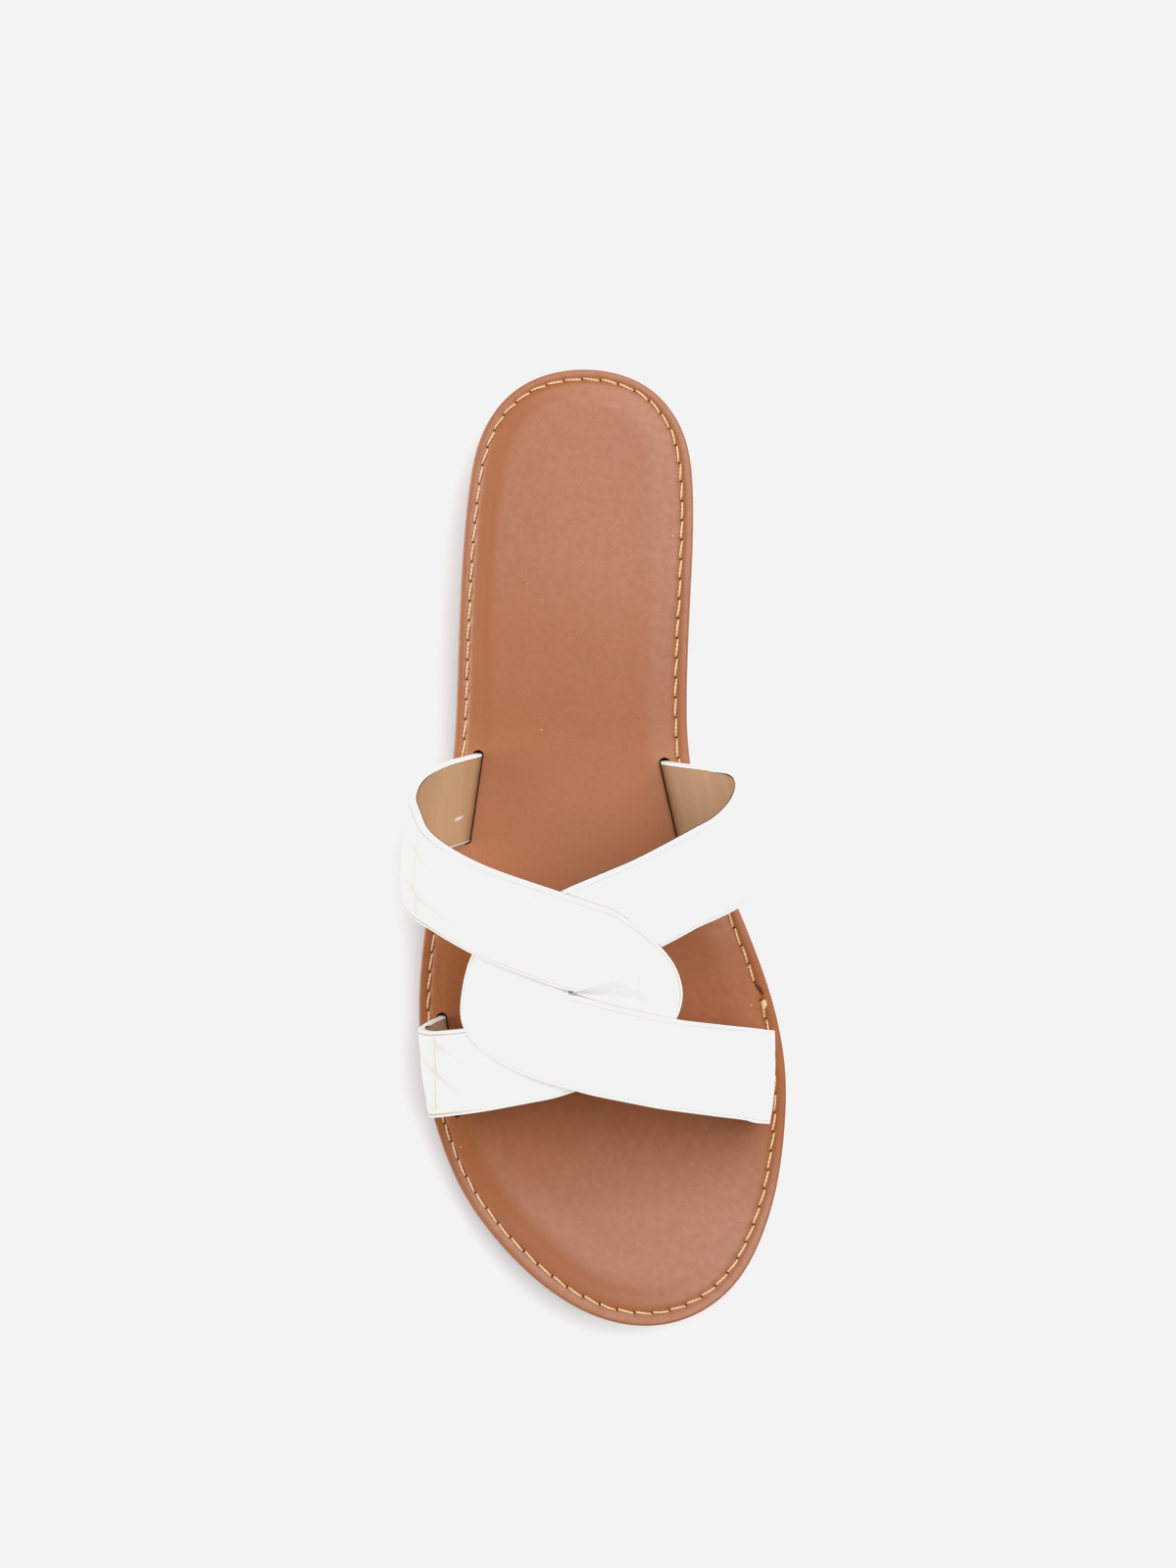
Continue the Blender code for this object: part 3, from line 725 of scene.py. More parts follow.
@dataclass(frozen=True)
class PlainFinish:
    """Even finish with a fine bump, for edge paint, glue with a painted contact shadow, thread, cut edges
    and rubber.
    """

    name: str
    colour: Colour
    deep: Colour
    roughness: float
    scale: float
    bump: float
    sheen: float = 0.0

    def make(self) -> Material:
        """Material whose tone and bump follow one noise."""
        nodes = Nodes(self.name)
        grain = nodes.noise(nodes.place(), self.scale, 3.0, 0.6)
        nodes.shader.inputs["Sheen Weight"].default_value = self.sheen
        base = nodes.mix(nodes.spread(grain, 0.0, 1.0), self.colour, self.deep)
        rough = nodes.spread(grain, self.roughness - 0.04, self.roughness + 0.06)
        return nodes.finish(base, rough, nodes.bump(grain, 0.3, self.bump))


@dataclass
class SolePlan:
    """Sole edge and heights, placed in the frame by the footbed's box."""

    length: float
    ball_width: float
    forefoot_thickness: float = 0.006
    heel_rise: float = 0.008
    toe_rise: float = 0.007
    heel_end: float = 0.20
    ball_start: float = 0.62
    spring_start: float = 0.78
    seat_gap: float = 0.0003
    footbed_thickness: float = 0.0056
    slot_deck: float = 0.90
    slot_inset: float = 0.0064
    dense: int = 400
    middle_steps: int = 8
    nudge: float = 0.0001

    def __post_init__(self) -> None:
        """Find the place in the frame, and read both edges densely once."""
        low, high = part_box("footbed")
        self.heel_y = high[1]
        self.heel_x = 0.0
        self.heel_x = high[0] - self.edge(Side.MEDIAL, 0.0, self.dense)[:, 0].max()
        self.edges = {side: self.edge(side, 0.0, self.dense) for side in Side}

    def y(self, along: Array) -> Array:
        """Y of a station."""
        return self.heel_y - along * self.length

    def along(self, y: Array) -> Array:
        """Station of a Y."""
        return (self.heel_y - y) / self.length

    def edge(self, side: Side, inset: Array | float, count: int) -> Array:
        """Points of one side of the sole edge from heel to toe, moved in by the inset.

        Args:
            side: which side.
            inset: distance inwards, one number or one a point.
            count: number of segments.

        Returns:
            Points (count + 1, 2) read evenly from the closed spline through the outline's rows.
        """
        y = -column(SOLE_OUTLINE, "along") * self.length
        medial = np.column_stack((column(SOLE_OUTLINE, "medial") * self.ball_width, y))
        lateral = np.column_stack((-column(SOLE_OUTLINE, "lateral") * self.ball_width, y))
        loop = np.concatenate((medial, lateral[-2:0:-1]))
        wrap = 4
        points = np.concatenate((loop[-wrap:], loop, loop[:wrap + 1]))
        knots = run_along(points)
        start = knots[wrap] if side is Side.MEDIAL else knots[wrap + len(loop)]
        at = np.linspace(start, knots[wrap + len(SOLE_OUTLINE) - 1], count + 1)

        def read(move: float) -> Array:
            """Points of the spline, moved on by a little."""
            return np.column_stack([natural_spline(knots, axis, at + move) for axis in points.T])

        run = unit(read(self.nudge) - read(-self.nudge))
        inwards = run[:, ::-1] * (1.0, -1.0) * np.broadcast_to(inset, at.shape)[:, None]
        return read(0.0) + inwards + (self.heel_x, self.heel_y)

    def across(self, side: Side, along: Array) -> Array:
        """X of the sole edge at a station."""
        edge = self.edges[side]
        return np.interp(along, self.along(edge[:, 1]), edge[:, 0])

    def ground(self, along: Array) -> Array:
        """Height of the outsole's ground face: level, then a parabola up to the toe."""
        share = np.clip((along - self.spring_start) / (1.0 - self.spring_start), 0.0, 1.0)
        return self.toe_rise * share * share

    def seat(self, along: Array) -> Array:
        """Height of the outsole's upper face: the heel's rise fades by a smooth step to the ball."""
        heel = 1.0 - smooth_step(along, self.heel_end, self.ball_start - self.heel_end)
        return self.forefoot_thickness + self.heel_rise * heel + self.ground(along)

    def cover(self, along: Array, share: float) -> Array:
        """Height in the footbed at a share of its thickness."""
        return self.seat(along) + self.seat_gap + share * self.footbed_thickness

    def deck(self, along: Array) -> Array:
        """Height of the footbed's face at the slots."""
        return self.cover(along, self.slot_deck)

    def slot_across(self, side: Side, along: Array) -> Array:
        """X of the slots' straight lines."""
        name = side.name.lower()
        ends = column(SLOT_ENDS, name + "_along")
        inset = column(SLOT_ENDS, name + "_inset") * self.slot_inset
        return np.interp(along, ends, self.across(side, ends) - side.value * inset)

    def loft(self, name: str, rings: list[Ring], count: int, crown: float) -> Mesh:
        """Closed body between rings of the sole edge.

        Args:
            name: the mesh's name.
            rings: from the under middle to the top middle.
            count: segments a side.
            crown: rise of the middle line over the last ring, where the sole is widest.

        Returns:
            The mesh; U of its UV is the run from the heel round each side, V the plain inset. From
            the last ring to the middle line it rises by crown * (width / widest)^2 * (2t - t^2).
        """
        parts = []
        for side in (Side.LATERAL, Side.MEDIAL):
            edge = self.edge(side, 0.0, count)
            run = side.value * run_along(edge)
            along = self.along(edge[:, 1])
            lines, maps = [], []
            for ring in rings:
                plan = self.edge(side, ring.inset(along, side), count)
                lines.append(np.column_stack((plan, ring.height(self.along(plan[:, 1]), run))))
                maps.append(np.column_stack((run, np.full(count + 1, ring.plain))))
            parts.append((lines, maps))
        lateral, medial = (lines for lines, _ in parts)
        under = (lateral[0] + medial[0]) / 2.0
        over = (lateral[-1] + medial[-1]) / 2.0
        width = np.linalg.norm(lateral[-1] - medial[-1], axis=1)
        rise = np.column_stack((np.zeros((len(width), 2)), crown * (width / width.max()) ** 2))
        steps = np.linspace(0.0, 1.0, self.middle_steps + 1)[1:]
        meshes = []
        for (lines, maps), order in zip(parts, (1, -1)):
            inner = [lines[-1] * (1.0 - t) + over * t + rise * (2.0 * t - t * t) for t in steps]
            grid = np.stack([under, *lines, *inner], axis=1)
            uv = np.stack([maps[0], *maps, *[maps[-1]] * len(steps)], axis=1)
            meshes.append(grid_mesh(name, grid[:, ::order], False, uv[:, ::order]))
        return join_meshes(name, meshes, MERGE_REACH)


@dataclass
class Slots:
    """The slots that the straps enter, with their punched ends."""

    plan: SolePlan
    strap_thickness: float
    clearance: float = 0.0003
    pocket_depth: float = 0.0020
    punch_radius: float = 0.00135
    punch_reach: float = 0.0009
    punch_sides: int = 28

    def tab(self) -> float:
        """Length of a strap's end below the deck."""
        return self.plan.slot_deck * self.plan.footbed_thickness + self.plan.seat_gap + self.pocket_depth

    def cutters(self, wall: Material) -> list[Object]:
        """Cutter objects for all slots, whose faces take the wall's material."""
        made = []
        for side in Side:
            for rear, front in ((0, 1), (2, 3)):
                ends = column(SLOT_ENDS, side.name.lower() + "_along")[[rear, front]]
                points = np.column_stack((self.plan.slot_across(side, ends), self.plan.y(ends)))
                run = unit(points[1] - points[0])
                label = f"{side.name}_{rear}"
                made.append(self.slot(label, points, self.plan.deck(ends), run, wall))
                made.extend(self.punches(label, points, self.plan.deck(ends), run, wall))
        return made

    def slot(self, label: str, points: Array, deck: Array, run: Array, wall: Material) -> Object:
        """Upright slab along one slot, as wide as the strap with its clearance.

        Args:
            label: the slot's name.
            points: plan points of its two ends.
            deck: the deck's height at each end.
            run: its direction.
            wall: material of the cut faces.

        Returns:
            The cutter.
        """
        aside = np.array([-run[1], run[0]]) * (self.strap_thickness / 2.0 + self.clearance)
        ends = (points[0] - run * self.clearance, points[1] + run * self.clearance)
        rings = []
        for end, height in zip(ends, deck):
            low, high = height - self.tab() - self.clearance, height + self.plan.footbed_thickness
            rings.append([(*(end + aside), low), (*(end + aside), high),
                          (*(end - aside), high), (*(end - aside), low)])
        return prism(f"slot_{label}", rings, wall)

    def punches(self, label: str, points: Array, deck: Array, run: Array, wall: Material) -> list[Object]:
        """Round holes at both ends of one slot, given as for the slab."""
        turn = np.linspace(0.0, 2.0 * math.pi, self.punch_sides, endpoint=False)
        circle = self.punch_radius * np.column_stack((np.cos(turn), np.sin(turn)))
        reach = 2.0 * self.plan.footbed_thickness
        made = []
        for number, away in enumerate((-run, run)):
            ring = points[number] + away * (self.punch_reach - self.punch_radius) + circle
            rings = [np.column_stack((ring, np.full(len(ring), deck[number] + rise)))
                     for rise in (-reach, reach)]
            made.append(prism(f"punch_{label}_{number}", rings, wall))
        return made


@dataclass
class Footbed:
    """Padded insole: a wrapped rim, a sewn-down line and a soft pillow inside it."""

    plan: SolePlan
    slots: Slots
    seam_inset: float = 0.00262
    toe_widening: float = 0.28
    medial_widening: float = 0.14
    lateral_widening: float = -0.07
    toe_zone: tuple[float, float] = (0.80, 0.16)
    heel_zone: tuple[float, float] = (0.0, 0.12)
    seam_dip: float = 0.00004
    hole_dip: float = 0.00016
    seam_width: float = 0.00060
    stitch: float = 0.0051
    crown: float = 0.0008
    count: int = 560
    fine: int = 44
    seam_rows: tuple[float, float, int] = (5.2, 6.8, 11)

    side_rows = [SideRow(*row) for row in (
        (0.00084, 0.00),
        (0.00000, 0.18),
        (0.00000, 0.46),
        (0.00012, 0.59),
        (0.00050, 0.665),
        (0.00140, 0.683),
        (0.00259, 0.675),
        (0.00406, 0.785),
        (0.00620, 0.885),
        (0.00800, 0.960),
        (0.00940, 0.985),
        (0.01400, 1.00),
    )]

    def widening(self, along: Array, side: Side) -> Array:
        """Factor on the insets: the seam lies further in on the medial side and round the toe."""
        toe = smooth_step(along, *self.toe_zone)
        aside = self.medial_widening if side is Side.MEDIAL else self.lateral_widening
        return 1.0 + self.toe_widening * toe + aside * smooth_step(along, *self.heel_zone) * (1.0 - toe)

    def pitch(self) -> float:
        """Stitch length that fits the whole edge a whole number of times."""
        total = sum(float(run_along(self.plan.edge(side, 0.0, self.count))[-1]) for side in Side)
        return total / round(total / self.stitch)

    def height(self, share: float, inset: float) -> Callable[[Array, Array], Array]:
        """Height function of a ring.

        Args:
            share: the ring's height as a share of the thickness.
            inset: the ring's plain inset.

        Returns:
            Function of along and run: the share's height, less a groove along the seam that is
            deepest at each needle hole.
        """
        pitch = self.pitch()
        near = math.exp(-((inset - self.seam_inset) / self.seam_width) ** 2)

        def read(along: Array, run: Array) -> Array:
            """Height of the ring at each station and run."""
            phase = 0.5 + 0.5 * np.cos(2.0 * math.pi * run / pitch)
            return self.plan.cover(along, share) - near * (self.seam_dip + self.hole_dip * phase ** 3)
        return read

    def inset_of(self, inset: float) -> Callable[[Array, Side], Array]:
        """Inset function of a ring: the plain inset times the widening."""
        return lambda along, side: inset * self.widening(along, side)

    def rings(self) -> list[Ring]:
        """Rings of the cover: a smooth curve through the side rows, close together at the seam."""
        knots = np.arange(len(self.side_rows), dtype=float)
        even = np.linspace(0.0, knots[-1], self.fine)
        at = np.sort(np.concatenate((even, np.linspace(*self.seam_rows))))
        insets, shares = (local_spline(knots, column(self.side_rows, name), at).tolist()
                          for name in ("inset", "height"))
        return [Ring(inset, self.inset_of(inset), self.height(share, inset))
                for inset, share in zip(insets, shares)]

    def build(self, cover: Material, wall: Material) -> Object:
        """Cover with its slots cut."""
        mesh = self.plan.loft("footbed_cover", self.rings(), self.count, self.crown)
        piece = new_piece("footbed_cover", mesh, [cover, wall])
        cut_away(piece, self.slots.cutters(wall))
        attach(piece, "root")
        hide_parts("footbed")
        LOG.info("footbed_cover: %d faces", len(piece.data.polygons))
        return piece


@dataclass
class Seam:
    """Row of stitches round the footbed: each a short two-ply thread that dives into its holes."""

    footbed: Footbed
    seat_share: float = 0.675
    radius: float = 0.00027
    end_radius: float = 0.62
    ply: float = 0.26
    turns: float = 2.3
    end_gap: float = 0.00012
    lift: float = 0.00026
    dive: float = 0.00050
    bow_power: float = 0.3
    slant: float = 0.00022
    wander: float = 0.00012
    rings: int = 19
    sides: int = 10
    missing: int = 35
    knot_run: float = 0.1847
    knot_size: tuple[float, float, float] = (0.00072, 0.00120, 0.00055)
    nudge: float = 0.0004

    def path(self) -> tuple[Array, Array]:
        """Closed path of the seam from the heel round the medial side, with its run."""
        plan, count = self.footbed.plan, self.footbed.count
        sides = []
        for side in (Side.MEDIAL, Side.LATERAL):
            edge = plan.edge(side, 0.0, count)
            inset = self.footbed.seam_inset * self.footbed.widening(plan.along(edge[:, 1]), side)
            sides.append((plan.edge(side, inset, count), run_along(edge)))
        (medial, medial_run), (lateral, lateral_run) = sides
        total = medial_run[-1] + lateral_run[-1]
        points = np.concatenate((medial, lateral[-2::-1]))
        return points, np.concatenate((medial_run, total - lateral_run[-2::-1]))

    def read(self, points: Array, run: Array, place: Array | float) -> Array:
        """Plan points of the path at each place on its run."""
        return np.stack([np.interp(place % run[-1], run, axis) for axis in points.T], axis=-1)

    def shake(self, number: Array, seed: float) -> Array:
        """Repeatable number from 0 to 1 for each stitch."""
        return hashed(number, number * 0.0, seed)

    def knot(self, points: Array, run: Array) -> Array:
        """Points of the one knot on the seam: an ellipsoid, rings by sides by 3."""
        plan = self.footbed.plan
        x, y = self.read(points, run, self.knot_run)
        seat = plan.cover(plan.along(y), self.seat_share)
        turn = np.linspace(0.0, 2.0 * math.pi, self.sides, endpoint=False)[None, :]
        lean = math.pi * np.linspace(0.06, 0.94, self.rings)[:, None]
        wide, long, high = self.knot_size
        ring = np.sin(lean)
        return np.stack((x + wide + wide * ring * np.cos(turn), y - long * np.cos(lean) + 0.0 * turn,
                         seat + high * ring * np.sin(turn)), axis=-1)

    def stitches(self, points: Array, run: Array) -> Array:
        """Points of all stitches, stitches by rings by sides by 3.

        Args:
            points: the seam's closed path.
            run: distance along the sole edge at each point.

        Returns:
            Round each stitch's middle line, the radius swells twice a turn and the swelling winds
            along it, as two twisted plies do.
        """
        plan, pitch = self.footbed.plan, self.footbed.pitch()
        number = np.delete(np.arange(round(run[-1] / pitch)), self.missing)[:, None]
        share = np.linspace(0.0, 1.0, self.rings)[None, :]
        arch = np.sin(math.pi * share)
        place = number * pitch + self.end_gap + (pitch - 2.0 * self.end_gap) * share
        middle = self.read(points, run, place)
        ahead = unit(self.read(points, run, place + self.nudge) - middle)
        inwards = ahead[..., ::-1] * (1.0, -1.0)
        slant = self.slant * (0.6 + 0.8 * self.shake(number, 1.0)) * (share - 0.5) * 2.0
        wander = self.wander * (self.shake(number, 2.0) - 0.5) * 2.0 * arch
        middle = middle + inwards * (slant + wander)[..., None]
        low = plan.cover(plan.along(middle[..., 1]), self.seat_share) - self.dive
        bow = arch ** self.bow_power * (0.92 + 0.16 * self.shake(number, 3.0))
        height = low + (self.lift + self.dive) * bow
        turn = np.linspace(0.0, 2.0 * math.pi, self.sides, endpoint=False)[None, None, :]
        twist = 2.0 * math.pi * (self.turns * share + self.shake(number, 4.0))
        swell = 1.0 + self.ply * np.cos(2.0 * (turn - twist[..., None]))
        thick = self.end_radius + (1.0 - self.end_radius) * arch ** 0.5
        girth = self.radius * thick[..., None] * swell
        plane = middle[..., None, :] + inwards[..., None, :] * (np.cos(turn) * girth)[..., None]
        rise = height[..., None] + np.sin(turn) * girth
        return np.concatenate((plane, rise[..., None]), axis=-1)

    def build(self, thread: Material) -> Object:
        """All stitches and the knot as one mesh."""
        points, run = self.path()
        grids = [*self.stitches(points, run), self.knot(points, run)]
        meshes = [grid_mesh("stitch", grid, True, caps=True) for grid in grids]
        piece = new_piece("edge_stitches", join_meshes("edge_stitches", meshes, 0.0), [thread])
        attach(piece, "root")
        LOG.info("edge_stitches: %d stitches", len(grids) - 1)
        return piece


@dataclass
class Outsole:
    """Moulded sole with a low heel, a hollow arch and cross grooves."""

    plan: SolePlan
    inset: float = 0.0008
    arch_height: float = 0.0070
    arch_power: float = 1.5
    arch_steps: int = 24
    breast: float = 0.27
    arch_end: float = 0.58
    breast_slant: float = 0.0020
    groove_depth: float = 0.0010
    groove_width: float = 0.0022
    groove_pitch: float = 0.0072
    tread_border: float = 0.0085
    slope_step: float = 0.01
    sharp_angle: float = 38.0
    count: int = 320

    side_rows = [SideRow(*row) for row in (
        (0.00250, 0.000),
        (0.00200, 0.012),
        (0.00130, 0.060),
        (0.00100, 0.130),
        (0.00075, 0.300),
        (0.00062, 0.480),
        (0.00075, 0.515),
        (0.00135, 0.560),
        (0.00150, 0.610),
        (0.00140, 0.660),
        (0.00055, 0.710),
        (0.00018, 0.750),
        (0.00000, 0.830),
        (0.00000, 0.960),
        (0.00025, 1.000),
    )]
    tread_zones = [(0.045, 0.130), (0.600, 0.665), (0.735, 0.930)]

    def ring(self, row: SideRow) -> Ring:
        """Ring of a side row."""
        def inset(along: Array, side: Side) -> Array:
            """Even inset all round."""
            return np.full(np.shape(along), self.inset + row.inset)

        def height(along: Array, run: Array) -> Array:
            """Share of the local thickness over the ground face."""
            low = self.plan.ground(along)
            return low + row.height * (self.plan.seat(along) - low)
        return Ring(row.inset, inset, height)

    def arch(self, wall: Material) -> Object:
        """Prism under the arch: a slanted heel breast, then a power curve down to the ball."""
        share = np.linspace(0.0, 1.0, self.arch_steps + 1)
        y = self.plan.y(self.breast + (self.arch_end - self.breast) * share)
        z = self.arch_height * (1.0 - share ** self.arch_power)
        y[0] -= self.breast_slant
        slope = (z[-2] - z[-1]) / (y[-2] - y[-1])
        below = -self.arch_height
        first = [self.plan.y(self.breast) + self.breast_slant, below]
        last = [y[-1] + below / slope, below]
        profile = np.array([first, *np.column_stack((y, z)), last])
        width = self.plan.ball_width
        rings = [np.column_stack((np.full(len(profile), x), profile)) for x in (-width, width)]
        return prism("arch", rings, wall)

    def tread(self, number: int, along: float, wall: Material) -> Object:
        """Slab of one cross groove, as wide as the sole inside its border."""
        plan = self.plan
        low = plan.across(Side.LATERAL, along) + self.tread_border
        high = plan.across(Side.MEDIAL, along) - self.tread_border
        slope = (plan.ground(along + self.slope_step) - plan.ground(along)) / (self.slope_step * plan.length)
        place = Matrix.Translation(((low + high) / 2.0, plan.y(along), plan.ground(along)))
        tilt = Matrix.Rotation(-math.atan(slope), 4, "X")
        size = Matrix.Diagonal((high - low, self.groove_width, 2.0 * self.groove_depth, 1.0))
        shape = bmesh.new()
        bmesh.ops.create_cube(shape, size=1.0, matrix=place @ tilt @ size)
        mesh = bpy.data.meshes.new(f"tread_{number}")
        shape.to_mesh(mesh)
        shape.free()
        return new_piece(mesh.name, mesh, [wall])

    def treads(self, wall: Material) -> list[Object]:
        """Slabs of the cross grooves in each zone."""
        step = self.groove_pitch / self.plan.length
        places = [first + number * step for first, last in self.tread_zones
                  for number in range(int((last - first) / step) + 1)]
        return [self.tread(number, along, wall) for number, along in enumerate(places)]

    def build(self, rubber: Material) -> Object:
        """Outsole with its arch and grooves cut."""
        mesh = self.plan.loft("outsole_shell", [self.ring(row) for row in self.side_rows], self.count, 0.0)
        piece = new_piece("outsole_shell", mesh, [rubber])
        cut_away(piece, [self.arch(rubber), *self.treads(rubber)])
        piece.data.set_sharp_from_angle(angle=math.radians(self.sharp_angle))
        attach(piece, "root")
        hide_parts("outsole")
        LOG.info("outsole_shell: %d faces", len(piece.data.polygons))
        return piece


@dataclass
class Vamp:
    """Surface that the straps follow, from slot to slot over the foot."""

    plan: SolePlan
    instep_height: float
    nudge: float = 0.002
    girth_turns: tuple[float, float, int] = (-2.2, 2.2, 265)
    girth_stations: tuple[float, float, int] = (0.38, 0.81, 87)

    def read(self, name: str, along: Array) -> Array:
        """One column of the sections as a smooth function of along."""
        return natural_spline(column(VAMP, "along"), column(VAMP, name), along)

    def point(self, around: Array, along: Array) -> Array:
        """Place on the surface.

        Args:
            around: 0 on the ridge, 1 at the bulge, 2 at the slot, signed by side.
            along: share of the sole's length.

        Returns:
            Points: from ridge to bulge a quarter ellipse whose height is raised to the fold's
            power, and from bulge to slot a straight fall with a smooth step inwards.
        """
        around, along = np.broadcast_arrays(around, along)
        plan, width = self.plan, self.plan.ball_width
        ridge = plan.heel_x + self.read("ridge", along) * width
        side_z = self.read("side_height", along) * self.instep_height
        top_z = self.read("top_height", along) * self.instep_height
        lateral = plan.across(Side.LATERAL, along) - self.read("lateral_out", along) * width
        medial = plan.across(Side.MEDIAL, along) + self.read("medial_out", along) * width
        bulge = np.where(around < 0.0, lateral, medial)
        slot = np.where(around < 0.0, *(plan.slot_across(side, along) for side in Side))
        lean = (1.0 - np.clip(np.abs(around), 0.0, 1.0)) * math.pi / 2.0
        over_x = ridge + (bulge - ridge) * np.cos(lean)
        over_z = side_z + (top_z - side_z) * np.sin(lean) ** self.read("fold", along)
        rise = 2.0 - np.abs(around)
        upper = np.abs(around) <= 1.0
        x = np.where(upper, over_x, slot + (bulge - slot) * smooth_step(rise))
        z = np.where(upper, over_z, side_z * rise) + plan.deck(along)
        return np.stack((x, plan.y(along), z), axis=-1)

    def normal(self, around: Array, along: Array) -> Array:
        """Direction away from the foot: the cross product of the two small steps on the surface."""
        nudge = self.nudge
        round_foot = self.point(around + nudge, along) - self.point(around - nudge, along)
        down_foot = self.point(around, along + nudge) - self.point(around, along - nudge)
        return unit(np.cross(down_foot, round_foot))

    def girth(self, around: Array, along: Array) -> Array:
        """Distance from the ridge round the foot, signed: summed steps on a grid, read between."""
        turns, stations = np.linspace(*self.girth_turns), np.linspace(*self.girth_stations)
        points = self.point(turns[:, None], stations[None, :])
        steps = np.linalg.norm(np.diff(points, axis=0), axis=-1)
        lengths = np.concatenate((np.zeros((1, len(stations))), np.cumsum(steps, axis=0)))
        lengths = lengths - lengths[len(turns) // 2]

        def place(value: Array, grid: Array) -> tuple[Array, Array]:
            """Whole steps of each value into the grid, and the rest of a step."""
            steps = np.clip((value - grid[0]) / (grid[1] - grid[0]), 0.0, len(grid) - 1.001)
            return steps.astype(int), steps % 1.0

        (low, up), (left, over) = place(around, turns), place(along, stations)
        near, far = (lengths[row, left] * (1.0 - over) + lengths[row, left + 1] * over
                     for row in (low, low + 1))
        return near * (1.0 - up) + far * up


@dataclass(frozen=True)
class Scales:
    """Pressed scales: rounded blocks in slanting rows with soft troughs between them."""

    width: float = 0.0148
    height: float = 0.0095
    slant: float = 0.60
    depth: float = 0.00020
    trough: float = 0.076
    jitter: float = 0.10
    dome: float = 0.00012

    def relief(self, across: Array, down: Array) -> tuple[Array, Array]:
        """Height of the pressed surface, and its troughs.

        Args:
            across: distance round the foot, in metres.
            down: distance along the foot, in metres.

        Returns:
            Relief and trough: with d1 and d2 the rounded-square distances to the two nearest block
            middles, as shares of a block's height, the trough is exp(-((d2 - d1) / trough)^2), and
            each block has a low dome. The rows slant: they move down by the slant for each unit across.
        """
        stretch = self.width / self.height
        u = across / self.width
        v = (down - self.slant * across) / self.height
        best = np.full(np.shape(u), 9.0)
        second = best.copy()
        for step_u, step_v in itertools.product((-1, 0, 1), repeat=2):
            cell_u, cell_v = np.floor(u) + step_u, np.floor(v) + step_v
            shift_u = (hashed(cell_u, cell_v, 5.0) - 0.5) * 2.0 * self.jitter / stretch
            shift_v = (hashed(cell_u, cell_v, 6.0) - 0.5) * 2.0 * self.jitter
            off_u = np.abs(u - cell_u - 0.5 - shift_u) * stretch
            off_v = np.abs(v - cell_v - 0.5 - shift_v)
            reach = (off_u ** 4 + off_v ** 4) ** 0.25
            second = np.minimum(second, np.maximum(best, reach))
            best = np.minimum(best, reach)
        trough = np.exp(-((second - best) / self.trough) ** 2)
        return self.dome * (1.0 - np.clip(best * 2.0, 0.0, 1.0) ** 2) - self.depth * trough, trough


